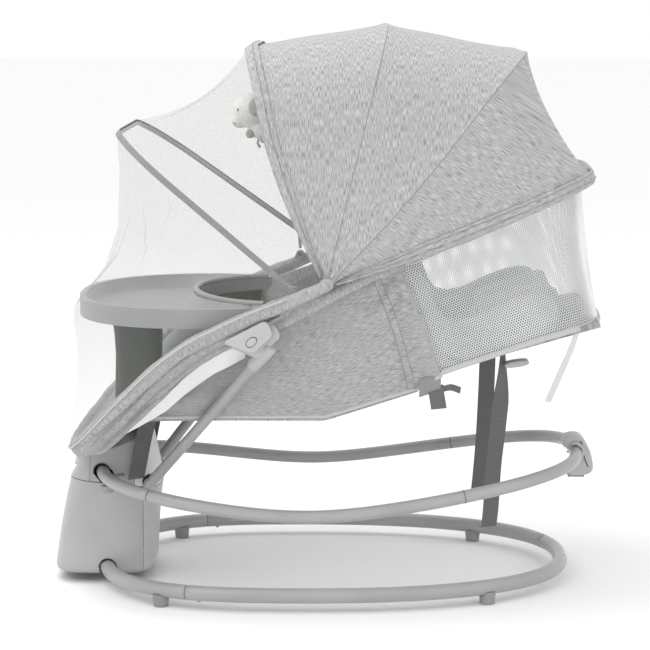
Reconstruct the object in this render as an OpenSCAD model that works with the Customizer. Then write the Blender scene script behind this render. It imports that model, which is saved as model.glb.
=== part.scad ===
// Bouncer seat on a swinging drive: floor loop, drive tower, rocker loop, seat, tray, canopy and net.
// X runs from the foot end to the head end, Y across, Z up from the floor. Symmetric about Y = 0.
// "Left" is the side of negative Y, the left hand of the child who lies in the seat.

/* [Floor loop] */
// Outer diameter of the floor loop tube
base_tube_d = 22; // [18:1:24]
// Half width of the floor loop, to the tube's middle
base_half_w = 240; // [225:5:260]
// Height of the floor loop tube's middle
base_z = 24; // [22:1:28]

/* [Rocker loop] */
// Outer diameter of the rocker loop tube
rock_tube_d = 19; // [16:1:20]
// Half width of the rocker loop, to the tube's middle
rock_half_w = 211; // [200:1:220]
// Lowest height of the rocker loop's middle
rock_low_z = 132; // [126:1:136]

/* [Seat frame] */
// Diameter of the seat's front tube
rail_d = 17; // [14:1:18]
// Half distance between the front tube's two sides
rail_half_w = 236; // [234:1:240]
// Diameter of the backrest tube
back_tube_d = 18; // [15:1:18]
// Half distance between the backrest tube's two sides
back_half_w = 202; // [200:1:203]
// Diameter of the two legs
leg_d = 16; // [14:1:16]

/* [Canopy and net] */
// Diameter of the canopy and net bows
bow_d = 5; // [4:0.5:5]
// Radius of the bows' upper corners
bow_corner = 110; // [90:5:130]
// Reach of the net bow from its own pivot
net_reach = 331; // [325:1:340]

/* [Tray] */
// Height of the tray's rim above the floor
tray_top_z = 432; // [432:1:440]
// Height of the tray's rim from its lower edge
tray_rim_h = 28; // [22:1:28]

/* [Hidden] */
$fn = 48;

// Colours
tube_grey = "#a9aaac";
shell_grey = "#a6a8a8";
light_grey = "#c9cac9";
dark_grey = "#757975";
cloth_grey = "#bdbdbd";
webbing_grey = "#5c5d5c";
net_white = "#eef0ec";
rubber_grey = "#8f9190";

// Clearance between parts that meet, and between parts that turn on each other
gap = 0.4;
// Swing axis: through the tower, its top leaning towards the seat
swing_at = [-318, 0, 150];
swing_lean = 6;
// Backrest pivot, canopy pivot and net bow pivot (X, Z)
hub_at = [-101, 391];
canopy_at = [3, 467];
net_at = [-42, 461];
// Canopy bows from front to rear: angle above +X, reach, and half distance between the arms
bow_angle = [108.4, 76.3, 48.5];
bow_reach = [342, 366, 425];
bow_half_w = [220, 226, 232];
rim_angle = 20.9;
rim_reach = 418;
rim_half_w = 226;
net_angle = 139.4;
net_half_w = 228;
pivot_pin_r = 3;

// ---------- helpers ----------

function unit(v) = v / norm(v);

// Rings of a tube along pts; ref is a direction that the path never runs along
function tube_rings(pts, r, sides, ref) = [
    for (i = [0 : len(pts) - 1])
        let (t = unit(pts[min(i + 1, len(pts) - 1)] - pts[max(i - 1, 0)]),
             u = unit(cross(t, ref)),
             v = cross(u, t))
        for (k = [0 : sides - 1])
            pts[i] + r * (cos(360 * k / sides) * u + sin(360 * k / sides) * v)
];

// Solid tube along a list of points
module sweep(pts, r, sides = 20, ref = [0, 0, 1]) {
    n = len(pts);
    polyhedron(
        points = tube_rings(pts, r, sides, ref),
        faces = concat(
            [[for (k = [sides - 1 : -1 : 0]) k]],
            [for (i = [0 : n - 2]) for (k = [0 : sides - 1])
                let (a = i * sides + k, b = i * sides + (k + 1) % sides)
                each [[a, b, b + sides], [a, b + sides, a + sides]]],
            [[for (k = [0 : sides - 1]) (n - 1) * sides + k]]
        )
    );
}

// Smooth curve through hand-chosen points (Catmull-Rom), steps pieces between two points
function curve_at(p, i, t) =
    let (n = len(p) - 1, a = p[max(i - 1, 0)], b = p[i], c = p[i + 1], d = p[min(i + 2, n)])
    0.5 * (2 * b + (c - a) * t + (2 * a - 5 * b + 4 * c - d) * t * t
        + (3 * b - a - 3 * c + d) * t * t * t);
function smooth(p, steps = 4) = concat(
    [for (i = [0 : len(p) - 2]) for (s = [0 : steps - 1]) curve_at(p, i, s / steps)],
    [p[len(p) - 1]]);
// Half a loop, from one end to its middle, completed on the other side
function mirrored(p) = concat(p, [for (i = [len(p) - 2 : -1 : 0]) [p[i][0], -p[i][1], p[i][2]]]);

// Point of an oval plan: angle 0 is the head end, 90 the right side, 180 the foot end
function sgn_pow(v, e) = sign(v) * pow(abs(v), e);
function plan_at(a, mid, front, rear, half_w, n_front, n_rear) =
    let (n = cos(a) < 0 ? n_front : n_rear)
    [mid + (cos(a) < 0 ? front : rear) * sgn_pow(cos(a), 2 / n), half_w * sgn_pow(sin(a), 2 / n)];

module both_sides() {
    children();
    mirror([0, 1, 0]) children();
}

// Solid with an XZ outline, between two Y values
module side_plate(pts, y0, y1) {
    translate([0, y1, 0]) rotate([90, 0, 0]) linear_extrude(y1 - y0) polygon(pts);
}

// Closed sheet between two grids of points that have the same rows and columns
module sheet_solid(outer, inner) {
    rows = len(outer);
    cols = len(outer[0]);
    far = rows * cols;
    function at(i, j) = i * cols + j;
    function quad(a, b, c, d) = [[a, b, c], [a, c, d]];
    polyhedron(
        points = concat([for (row = outer) each row], [for (row = inner) each row]),
        faces = concat(
            [for (i = [0 : rows - 2]) for (j = [0 : cols - 2])
                each quad(at(i, j), at(i, j + 1), at(i + 1, j + 1), at(i + 1, j))],
            [for (i = [0 : rows - 2]) for (j = [0 : cols - 2])
                each quad(far + at(i + 1, j), far + at(i + 1, j + 1), far + at(i, j + 1), far + at(i, j))],
            [for (j = [0 : cols - 2])
                each quad(far + at(0, j), far + at(0, j + 1), at(0, j + 1), at(0, j))],
            [for (j = [0 : cols - 2]) each quad(at(rows - 1, j), at(rows - 1, j + 1),
                far + at(rows - 1, j + 1), far + at(rows - 1, j))],
            [for (i = [0 : rows - 2])
                each quad(at(i, 0), at(i + 1, 0), far + at(i + 1, 0), far + at(i, 0))],
            [for (i = [0 : rows - 2]) each quad(far + at(i, cols - 1), far + at(i + 1, cols - 1),
                at(i + 1, cols - 1), at(i, cols - 1))]
        )
    );
}

// ---------- floor loop and rocker loop ----------

floor_seam = 116;
floor_end_seam = 17;
rocker_seam = 64;
rocker_front_seam = 128;
seam_gap = 0.15;
function floor_at(a) =
    let (p = plan_at(a, -30, 300, 388, base_half_w, 2.8, 2.3)) [p[0], p[1], base_z];
function rocker_at(a) =
    let (p = plan_at(a, -40, 295, 418, rock_half_w, 3, 3), x = p[0] + 25,
         rise = (x > 0 ? 18.4 : 16) * (sqrt(1 + pow(x / 100, 2)) - 1))
    [p[0], p[1], rock_low_z + rise];
function floor_path(a0, a1, n) = [for (i = [0 : n]) floor_at(a0 + (a1 - a0) * i / n)];
function rocker_path(a0, a1, n) = [for (i = [0 : n]) rocker_at(a0 + (a1 - a0) * i / n)];

module floor_tube(a0, a1, n) {
    color(tube_grey) sweep(floor_path(a0 + seam_gap, a1 - seam_gap, n), base_tube_d / 2);
}
module floor_front_tube() {
    floor_tube(floor_seam, 360 - floor_seam, 33);
}
module floor_left_tube() {
    floor_tube(360 - floor_seam, 360 + floor_end_seam, 36);
}
module floor_right_tube() {
    floor_tube(floor_end_seam, floor_seam, 26);
}

// Spring pins that lock the floor loop's joints, seen as small domes under the tube
module floor_snap_pins() {
    for (a = [floor_seam - 4, 360 - floor_seam + 4])
        color(dark_grey) translate(floor_at(a) - [0, 0, base_tube_d / 2 + 1.6])
            cylinder(h = 1.5, r1 = 2.4, r2 = 3);
}

// Feet: angles on the loop near its four corners
foot_angles = [126, 49.5, 310.5, 234];
module floor_feet() {
    for (a = foot_angles) {
        p = floor_at(a);
        color(rubber_grey) difference() {
            translate([p[0], p[1], 0]) cylinder(h = base_z - base_tube_d / 2 + 5, r1 = 10.5, r2 = 12.5);
            translate(p) rotate([0, 90, atan2(floor_at(a + 1)[1] - floor_at(a - 1)[1],
                floor_at(a + 1)[0] - floor_at(a - 1)[0])])
                cylinder(h = 60, r = base_tube_d / 2 + gap, center = true);
        }
    }
}

module rocker_tube(a0, a1, n) {
    color(tube_grey) sweep(rocker_path(a0 + seam_gap, a1 - seam_gap, n), rock_tube_d / 2);
}
module rocker_front_tube() {
    rocker_tube(rocker_front_seam, 360 - rocker_front_seam, 34);
}
module rocker_left_tube() {
    rocker_tube(360 - rocker_front_seam, 360 - rocker_seam, 10);
    rocker_tube(360 - rocker_seam, 360, 28);
}
module rocker_right_tube() {
    rocker_tube(rocker_seam, rocker_front_seam, 10);
    rocker_tube(0, rocker_seam, 28);
}
// Rivets across the tube beside its joints
module rocker_rivets() {
    for (a = [rocker_seam + 2.5, 360 - rocker_seam - 2.5]) {
        p = rocker_at(a);
        side = sign(p[1]);
        color(dark_grey) translate(p - [0, side * (rock_tube_d / 2 + 1.4), 0])
            rotate([side * 90, 0, 0]) cylinder(h = 1.1, r = 3, center = true);
    }
}
// Rubber pads under the front of the rocker loop
module rocker_pads() {
    for (a = [158, 202]) {
        p = rocker_at(a);
        color(light_grey) translate(p - [0, 0, rock_tube_d / 2 + 11]) cylinder(h = 10, r1 = 8, r2 = 10);
    }
}

// ---------- drive tower ----------

tower_low_z = 14;
tower_wall = 3;
head_gap = 0.8;
arch_r = base_tube_d / 2 + 2;
arch_x = floor_at(180)[0] + 5;

// Rounded block between the floor and the leaning seam plane, made smaller by inset
module tower_body(inset) {
    hull() {
        for (x = [-378, -288])
            for (side = [-1, 1])
                translate([x, side * 54, tower_low_z + inset]) cylinder(h = 6, r = 30 - inset, $fn = 32);
        translate(swing_at) rotate([0, swing_lean, 0])
            for (x = [-36, 40])
                for (side = [-1, 1])
                    translate([x, side * 46, -2 - inset]) cylinder(h = 2, r = 30 - inset, $fn = 32);
    }
}
module tower_hollow() {
    difference() {
        tower_body(0);
        tower_body(tower_wall);
        translate([arch_x, 0, base_z]) rotate([90, 0, 0]) cylinder(h = 200, r = arch_r, center = true);
        translate([arch_x - arch_r, -100, 0]) cube([2 * arch_r, 200, base_z]);
        translate([-326, 0, 0]) cube([340, 90, 2 * tower_low_z + 12], center = true);
        translate(swing_at) rotate([0, swing_lean, 0]) cylinder(h = 60, r = 10, center = true);
    }
}
rear_cover_x = -272;
module tower_shell() {
    color(shell_grey) intersection() {
        tower_hollow();
        translate([rear_cover_x - 200, -100, 0]) cube([200, 200, 200]);
    }
}
module tower_rear_cover() {
    color(light_grey) intersection() {
        tower_hollow();
        translate([rear_cover_x + gap, -100, 0]) cube([200, 200, 200]);
    }
}
// Plate across the tower's middle that clamps the floor tube and carries the drive
module tower_floor_plate() {
    color(dark_grey) difference() {
        translate([-376, -50, 36.5]) cube([96, 100, 5]);
        for (x = [-366, -290])
            for (side = [-1, 1])
                translate([x, side * 40, 30]) cylinder(h = 20, r = 2.2);
    }
}
module housing_screws() {
    for (x = [-366, -290])
        for (side = [-1, 1])
            color("#6b6e70") translate([x, side * 40, 0]) {
                translate([0, 0, 33.9]) cylinder(h = 2.4, r = 3.6);
                translate([0, 0, 36]) cylinder(h = 9, r = 2.1);
            }
}
module drive_gearbox() {
    color(light_grey) translate([-345, -28, 42]) cube([52, 56, 34]);
}
module drive_motor() {
    color("#8d9091") translate([-362, 0, 42]) {
        cylinder(h = 44, r = 14);
        translate([0, 0, 44]) cylinder(h = 4, r = 5);
    }
}
module battery_box() {
    color("#4a4c4c") translate([-289, -34, 46]) cube([13, 68, 56]);
}
shaft_r = 8;
module shaft_bearing() {
    color("#d7d4c8") translate(swing_at) rotate([0, swing_lean, 0]) translate([0, 0, -34]) difference() {
        cylinder(h = 22, r = 14);
        translate([0, 0, -1]) cylinder(h = 24, r = shaft_r + 0.05);
    }
}
module swing_shaft() {
    color("#b9bcbe") translate(swing_at) rotate([0, swing_lean, 0]) {
        translate([0, 0, -60]) cylinder(h = 82, r = shaft_r);
        translate([0, 0, -38.5]) cylinder(h = 4, r = 12);
        translate([0, 0, 2]) cylinder(h = 3, r = 18);
    }
}

// ---------- drive head ----------

module head_body(inset) {
    hull() {
        translate(swing_at) rotate([0, swing_lean, 0])
            for (x = [-36, 40])
                for (side = [-1, 1])
                    translate([x, side * 46, head_gap + inset]) cylinder(h = 2, r = 29.6 - inset, $fn = 32);
        for (side = [-1, 1]) {
            translate([-342, side * 42, 188 - inset]) cylinder(h = 2, r = 26 - inset, $fn = 32);
            translate([-292, side * 42, 216 - inset]) cylinder(h = 2, r = 26 - inset, $fn = 32);
        }
    }
}
rocker_front = rocker_at(180);
module head_hollow() {
    difference() {
        head_body(0);
        head_body(tower_wall);
        translate([rocker_front[0] + 2, 0, rocker_front[2]]) rotate([90, 0, 0])
            cylinder(h = 200, r = rock_tube_d / 2 + 2.2, center = true);
        translate([rocker_front[0] + 8, 0, rocker_front[2] - 6]) rotate([90, 0, 0])
            cylinder(h = 200, r = rock_tube_d / 2 + 3, center = true);
        translate(swing_at) rotate([0, swing_lean, 0]) cylinder(h = 12, r = 19, center = true);
    }
}
head_panel_x = -351;
head_cover_x = -284;
module head_slice(x0, x1) {
    intersection() {
        head_hollow();
        translate([x0, -100, 100]) cube([x1 - x0, 200, 200]);
    }
}
// Front face of the head: its lean from upright, and the button row on it
face_lean = 13;
face_at = [-374.5, 0, 176];
button_r = 7;
button_y = [-26, 0, 26];
module on_face(y) {
    translate([face_at[0], y, face_at[2]]) rotate([0, -90 + face_lean, 0]) children();
}
module head_front_panel() {
    color(light_grey) difference() {
        head_slice(-460, head_panel_x);
        for (y = button_y) on_face(y) cylinder(h = 40, r = button_r + gap, center = true);
    }
}
module head_shell() {
    color(shell_grey) difference() {
        head_slice(head_panel_x + gap, head_cover_x);
        for (side = [-1, 1])
            translate([tray_peg_x, side * 20, 180]) cylinder(h = 60, r = 5.4);
    }
}
module head_rear_cover() {
    color("#d6d7d5") head_slice(head_cover_x + gap, -200);
}
module circuit_board() {
    color("#3f6b52") on_face(0) translate([-12, -38, -18]) cube([22, 76, 1.6]);
}
module face_button(y) {
    color(dark_grey) on_face(y) {
        translate([0, 0, -9]) cylinder(h = 12, r = button_r);
        translate([0, 0, -10]) cylinder(h = 1.6, r = button_r + 2);
    }
}
module power_button() {
    face_button(button_y[0]);
}
module speed_button() {
    face_button(button_y[1]);
}
module music_button() {
    face_button(button_y[2]);
}

// ---------- rocker stand ----------

rocker_end = rocker_at(0);
stand_r = rock_tube_d / 2 + 0.4;
// Sleeve on the loop's rear end that the stand turns on
module stand_clip() {
    color(light_grey) for (side = [-1, 1])
        translate([rocker_end[0], side * 27, rocker_end[2]]) rotate([90, 0, 0]) difference() {
            cylinder(h = 8, r = stand_r + 5, center = true);
            cylinder(h = 10, r = stand_r, center = true);
            translate([-20, 0, 0]) cube([24, 60, 20], center = true);
        }
}
module rocker_stand() {
    color(light_grey) translate([rocker_end[0], 0, rocker_end[2]]) rotate([90, 0, 0]) difference() {
        union() {
            cylinder(h = 44, r = stand_r + 6, center = true);
            linear_extrude(44, center = true)
                polygon([[2, -10], [14, 10], [20, 4], [25, -24], [20, -30], [8, -36], [-6, -37], [-8, -30]]);
        }
        cylinder(h = 60, r = stand_r, center = true);
        translate([-26, 8, 0]) cube([40, 60, 60], center = true);
    }
}

// ---------- legs and hubs ----------

leg_low = [-262, 99, 152];
leg_high = [-78, 222, 378];
// Length of the leg's lower end, which turns inwards to the head's side
leg_foot = 24;
module leg() {
    path = leg_high - leg_low;
    color(tube_grey) translate(leg_low)
        rotate([0, acos(path[2] / norm(path)), atan2(path[1], path[0])]) {
            cylinder(h = norm(path), r = leg_d / 2);
            translate([0, 0, norm(path) - 44]) cylinder(h = 50, r = leg_d / 2 + 2);
            sphere(r = leg_d / 2);
        }
    color(tube_grey) translate(leg_low) rotate([90, 0, 0]) cylinder(h = leg_foot, r = leg_d / 2);
}
module right_leg() {
    leg();
}
module left_leg() {
    mirror([0, 1, 0]) leg();
}

// Hub bracket: rounded triangle under the front tube, with a bore for the backrest pivot
hub_y = [234, 247];
hub_corners = [[-135, 390.5, 3.5], [-84, 411, 8.5], [-80, 403, 8], [-102, 386, 11]];
module hub_outline() {
    hull()
        for (c = hub_corners)
            translate([c[0], c[1]]) circle(r = c[2], $fn = 32);
}
module hub() {
    color(light_grey) difference() {
        translate([0, hub_y[1], 0]) rotate([90, 0, 0]) linear_extrude(hub_y[1] - hub_y[0]) hub_outline();
        translate([hub_at[0], 0, hub_at[1]]) rotate([-90, 0, 0]) cylinder(h = 300, r = 5.05);
        translate([hub_at[0], hub_y[1] - 6, hub_at[1]]) rotate([-90, 0, 0]) cylinder(h = 20, r = 8.4);
    }
}
module right_hub() {
    hub();
}
module left_hub() {
    mirror([0, 1, 0]) hub();
}
module hub_button() {
    color("#dcdddb") translate([hub_at[0], hub_y[1] - 4, hub_at[1]]) rotate([-90, 0, 0])
        cylinder(h = 5.2, r = 8);
}
module right_hub_button() {
    hub_button();
}
module left_hub_button() {
    mirror([0, 1, 0]) hub_button();
}

// ---------- seat front ----------

// Right half of the front tube, from its upper end to the middle of the foot end
front_tube_points = [
    [-64, rail_half_w, 440], [-100, rail_half_w, 425], [-150, rail_half_w, 402],
    [-195, rail_half_w, 379], [-240, rail_half_w, 344], [-288, 232, 299], [-325, 214, 260],
    [-348, 182, 236], [-362, 130, 221], [-368, 60, 214], [-369, 0, 212]
];
module seat_front_tube() {
    color(tube_grey) sweep(smooth(mirrored(front_tube_points), 3), rail_d / 2, 16);
}
// Clips on the front tube's upper ends, each with the net bow's pin
module net_pivots() {
    both_sides() color(dark_grey) {
        side_plate([[-55, 437], [-55, 452], [-48, 468], [-36, 468], [-34, 446]], net_half_w + 3, net_half_w + 14);
        translate([net_at[0], net_half_w - 4, net_at[1]]) rotate([-90, 0, 0]) cylinder(h = 8, r = pivot_pin_r);
    }
}
sling_half_w = 148;
post_x = -280;
post_size = [70, 60];
tray_peg_x = -296;
// Padded sling from the foot end to the backrest
module seat_sling() {
    color(cloth_grey) difference() {
        intersection() {
            side_plate([
                [-348, 212], [-336, 208], [-282, 254], [-248, 270], [2, 272], [138, 314],
                [134, 326], [0, 284], [-244, 282], [-286, 268], [-344, 222]
            ], -190, 190);
            linear_extrude(600)
                polygon([[-350, -100], [-350, 100], [-318, 140], [-290, sling_half_w], [200, sling_half_w],
                    [200, -sling_half_w], [-290, -sling_half_w], [-318, -140]]);
        }
        translate([post_x, 0, 250]) cube([post_size[0] + 14, post_size[1] + 14, 160], center = true);
    }
}
wall_t = 3;
wall_lean = 10;
module side_walls() {
    both_sides() color(cloth_grey) translate([0, sling_half_w + 1.5, 272]) rotate([-wall_lean, 0, 0])
        translate([0, 0, -272]) side_plate([
            [-268, 270], [-248, 274], [2, 276], [136, 318], [162, 338], [104, 490], [62, 470],
            [-56, 402], [-120, 362], [-200, 322]
        ], 0, wall_t);
}
module front_straps() {
    both_sides() color(webbing_grey) translate([-297, 84, 158]) cube([25, 1.6, 78]);
}
// Crotch and waist straps with their buckle, lying on the sling
module harness() {
    color(webbing_grey) translate([-190, -14, 285]) cube([120, 28, 1.6]);
    color(dark_grey) translate([-68, -22, 285]) cube([36, 44, 12]);
    both_sides() color(webbing_grey) translate([-62, 23, 285]) cube([25, 120, 1.6]);
}

// ---------- backrest ----------

// Right half of the backrest tube, from the hub to the middle of the head end
back_tube_points = [
    [-76, back_half_w, 404], [-40, back_half_w, 424], [30, back_half_w, 463],
    [110, back_half_w, 501], [200, back_half_w, 538], [276, 199, 570], [336, 180, 595],
    [368, 138, 608], [381, 80, 614], [384, 0, 616]
];
module backrest_tube() {
    color(tube_grey) {
        sweep(smooth(mirrored(back_tube_points), 3), back_tube_d / 2, 16);
        both_sides() {
            translate([hub_at[0], back_half_w, hub_at[1]]) rotate([90, 0, 0]) cylinder(h = 14, r = 13, center = true);
            translate([hub_at[0], back_half_w, hub_at[1]]) rotate([0, 60, 0]) cylinder(h = 32, r = back_tube_d / 2);
            translate([hub_at[0], back_half_w, hub_at[1]]) rotate([-90, 0, 0]) cylinder(h = 38, r = 5);
        }
    }
}
board_low = [174, 336];
board_high = [388, 404];
module back_board() {
    color(cloth_grey) side_plate(
        [board_low, board_high, board_high + [-3, 9], board_low + [-3, 9]], -178, 178);
}
module head_pillow() {
    color("#a8a8a8") hull()
        for (x = [[222, 374], [340, 411]])
            for (side = [-1, 1])
                translate([x[0], side * 80, x[1]]) rotate([0, -19, 0]) cylinder(h = 18, r = 24, $fn = 24);
}
// Mesh basket: two sides and the curved rear, hanging from the backrest tube
basket_y = [181, 184];
module mesh_basket() {
    side = [[110, 484], [168, 346], [388, 412], [396, 594], [372, 590], [200, 520]];
    color(net_white) {
        both_sides() side_plate(side, basket_y[0], basket_y[1]);
        rotate([90, 0, 0]) linear_extrude(2 * basket_y[0] - 1, center = true)
            polygon([[405, 398], [408, 398], [388, 602], [385, 602]]);
    }
}
module canopy_pivots() {
    both_sides() color(dark_grey) {
        side_plate([[-12, 434], [16, 449], [14, 470], [3, 479], [-8, 470]],
            back_half_w + back_tube_d / 2 + 0.3, back_half_w + back_tube_d / 2 + 4.3);
        translate([canopy_at[0], back_half_w + back_tube_d / 2 + 4, canopy_at[1]]) rotate([-90, 0, 0])
            cylinder(h = 22, r = pivot_pin_r);
        translate([canopy_at[0], back_half_w + back_tube_d / 2 + 25, canopy_at[1]]) rotate([-90, 0, 0])
            cylinder(h = 2, r = 6);
    }
}
strap_w = 25;
strap_t = 1.6;
// Flat strap along a route in an XZ plane at Y = y
module hanging_strap(route, y, w, t) {
    color(webbing_grey) side_plate(
        concat([for (p = route) p - [t / 2, 0]], [for (i = [len(route) - 1 : -1 : 0]) route[i] + [t / 2, 0]]),
        y - w / 2, y + w / 2);
}
left_strap_route = [[262, 356], [261, 300], [256, 240], [250, 180], [247, 120], [244, 90]];
right_strap_route = [[244, 350], [243, 300], [241, 240], [238, 180], [235, 130], [232, 100]];
tape_route = [[372, 392], [364, 366], [352, 336], [340, 308], [328, 280]];
module left_under_strap() {
    hanging_strap(left_strap_route, -90, strap_w, strap_t);
}
module right_under_strap() {
    hanging_strap(right_strap_route, 90, strap_w, strap_t);
}
module rear_tape() {
    hanging_strap(tape_route, -100, 10, 1.2);
}

// ---------- canopy ----------

// Half of a bow's outline in its own plane: [distance from the middle plane, reach]
function bow_half(reach, half_w, corner) = concat(
    [for (i = [0 : 3]) [half_w, 34 + (reach - corner - 34) * i / 4]],
    [for (a = [0 : 18 : 90]) [half_w - corner + corner * cos(a), reach - corner + corner * sin(a)]],
    [[(half_w - corner) / 2, reach], [0, reach]]);
function whole_bow(h) = concat(h, [for (i = [len(h) - 2 : -1 : 0]) [-h[i][0], h[i][1]]]);
function lean(p, at, angle) = [at[0] + p[1] * cos(angle), p[0], at[1] + p[1] * sin(angle)];
function bow_line(i, grow = 0, turn = 0) = [
    for (p = whole_bow(bow_half(bow_reach[i] + grow, bow_half_w[i] + grow, bow_corner)))
        lean(p, canopy_at, bow_angle[i] + turn)
];
function rim_line(grow = 0) = [for (p = whole_bow(bow_half(rim_reach + grow, rim_half_w + grow, bow_corner)))
    lean(p, canopy_at, rim_angle)];
function net_line(grow = 0, turn = 0) = [
    for (p = whole_bow(bow_half(net_reach + grow, net_half_w + grow, bow_corner)))
        lean(p, net_at, net_angle + turn)
];

// Round rod bow with an eye on each arm
module bow(at, angle, reach, half_w, eye_r = 5) {
    color(dark_grey) translate([at[0], 0, at[1]]) rotate([0, 90 - angle, 0]) {
        both_sides() {
            difference() {
                translate([0, half_w, 0]) rotate([90, 0, 0]) cylinder(h = 4.6, r = eye_r + 2, center = true);
                translate([0, half_w, 0]) rotate([90, 0, 0])
                    cylinder(h = 10, r = pivot_pin_r + 0.05, center = true);
            }
            translate([0, half_w, eye_r + 1]) cylinder(h = reach - bow_corner - eye_r - 1, r = bow_d / 2);
            translate([0, half_w - bow_corner, reach - bow_corner]) rotate([90, 0, 90])
                rotate_extrude(angle = 90) translate([bow_corner, 0]) circle(r = bow_d / 2);
        }
        translate([0, 0, reach]) rotate([90, 0, 0])
            cylinder(h = 2 * (half_w - bow_corner), r = bow_d / 2, center = true);
    }
}
module front_canopy_bow() {
    bow(canopy_at, bow_angle[0], bow_reach[0], bow_half_w[0]);
}
module middle_canopy_bow() {
    bow(canopy_at, bow_angle[1], bow_reach[1], bow_half_w[1]);
}
module rear_canopy_bow() {
    bow(canopy_at, bow_angle[2], bow_reach[2], bow_half_w[2]);
}
module net_bow() {
    bow(net_at, net_angle, net_reach, net_half_w);
}

cloth_t = 2;
cloth_off = 4;
// Angle that a cloth panel's edge stays back from the middle of its bow
seam_turn = 0.15;
// Cloth stretched between two bow outlines, which it clears by cloth_off
module cloth_between(outer_a, outer_b, inner_a, inner_b, rows = 3) {
    function mix(a, b) = [for (i = [0 : rows]) [for (j = [0 : len(a) - 1]) a[j] + (b[j] - a[j]) * i / rows]];
    sheet_solid(mix(outer_a, outer_b), mix(inner_a, inner_b));
}
module front_canopy_panel() {
    color(cloth_grey) cloth_between(
        bow_line(1, cloth_off + cloth_t, seam_turn), bow_line(0, cloth_off + cloth_t, -seam_turn),
        bow_line(1, cloth_off, seam_turn), bow_line(0, cloth_off, -seam_turn));
}
module middle_canopy_panel() {
    color(cloth_grey) cloth_between(
        bow_line(2, cloth_off + cloth_t, seam_turn), bow_line(1, cloth_off + cloth_t, -seam_turn),
        bow_line(2, cloth_off, seam_turn), bow_line(1, cloth_off, -seam_turn));
}
module rear_canopy_panel() {
    color(cloth_grey) cloth_between(
        rim_line(cloth_off + cloth_t), bow_line(2, cloth_off + cloth_t, -seam_turn),
        rim_line(cloth_off), bow_line(2, cloth_off, -seam_turn));
}

// Net: from the front canopy bow to the net bow, and from there down over the tray to the foot end
rail_height = [
    [-384, 214], [-348, 232], [-288, 299], [-240, 344], [-195, 379], [-150, 402], [-80, 434], [-36, 452]
];
function net_row(reach, half_w, low_z) = [for (i = [0 : len(net_line()) - 1])
    let (a = 90 - 180 * i / (len(net_line()) - 1),
         x = -30 - reach * pow(cos(a), 0.7))
    [x, half_w * sgn_pow(sin(a), 0.2), low_z > 0 ? low_z + 26 * (1 - cos(a)) : 12 + lookup(x, rail_height)]];
module net_top() {
    color(net_white, 0.4) cloth_between(
        bow_line(0, cloth_off + 1, seam_turn), net_line(cloth_off + 1),
        bow_line(0, cloth_off, seam_turn), net_line(cloth_off), 2);
}
module net_drape() {
    outer = [net_line(cloth_off + 1, 1.5), net_row(346, 252, 440), net_row(353, 257, 0)];
    inner = [net_line(cloth_off, 1.5), net_row(345, 251, 440), net_row(352, 256, 0)];
    color(net_white, 0.4) sheet_solid(outer, inner);
}

// ---------- tray ----------

tray_tip_x = -84;
// Outline of the tray: oval foot end, then straight arms that narrow towards their tips
function tray_outline(grow) = concat(
    [for (a = [90 : 7.5 : 270]) let (p = plan_at(a, -170, 197, 0, 211, 2.4, 2)) p + grow * [cos(a), sin(a)]],
    [[-140, -206 - grow], [tray_tip_x + grow, -188 - grow], [tray_tip_x + grow, 188 + grow], [-140, 206 + grow]]);
// Belly cut-out, open towards the child
function belly_outline(grow) = concat(
    [for (a = [90 : 10 : 270]) [-70 + (120 + grow) * cos(a), (158 + grow) * sin(a)]],
    [[0, -158 - grow], [0, 158 + grow]]);
module tray() {
    low = tray_top_z - tray_rim_h;
    color(light_grey) translate([0, 0, low]) difference() {
        linear_extrude(tray_rim_h) difference() {
            polygon(tray_outline(0));
            polygon(belly_outline(0));
        }
        translate([0, 0, 7]) linear_extrude(tray_rim_h) difference() {
            polygon(tray_outline(-9));
            polygon(belly_outline(11));
            translate([-150, -300]) square([200, 600]);
        }
        translate([0, 0, -1]) linear_extrude(5) difference() {
            polygon(tray_outline(-4));
            polygon(belly_outline(5));
            translate([post_x - 45, -42]) square([90, 84]);
        }
    }
}
module tray_post() {
    h = tray_top_z - tray_rim_h - 0.3;
    color(dark_grey) {
        hull()
            for (x = [-1, 1])
                for (side = [-1, 1]) {
                    translate([post_x + x * 22, side * 18, h - 4]) cylinder(h = 4, r = 16, $fn = 32);
                    translate([post_x + x * 18, side * 16, 240]) cylinder(h = 2, r = 13, $fn = 32);
                }
        for (side = [-1, 1])
            translate([tray_peg_x, side * 20, 202]) cylinder(h = 42, r = 5);
    }
}

// ---------- plush toy ----------

toy_at = [-88, 774];
// Small sitting animal that hangs under the front bow on a ribbon
module plush_toy() {
    color("#f2f2f0") {
        translate([-116, 0, 712]) sphere(r = 20);
        translate([-120, 0, 682]) sphere(r = 24);
        translate([-97, 0, 722]) rotate([0, 10, 0]) cylinder(h = 50, r = 1.5);
        translate([toy_at[0], 0, toy_at[1]]) rotate([90, 0, 0]) cylinder(h = 8, r = 3, center = true);
    }
}

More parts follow.
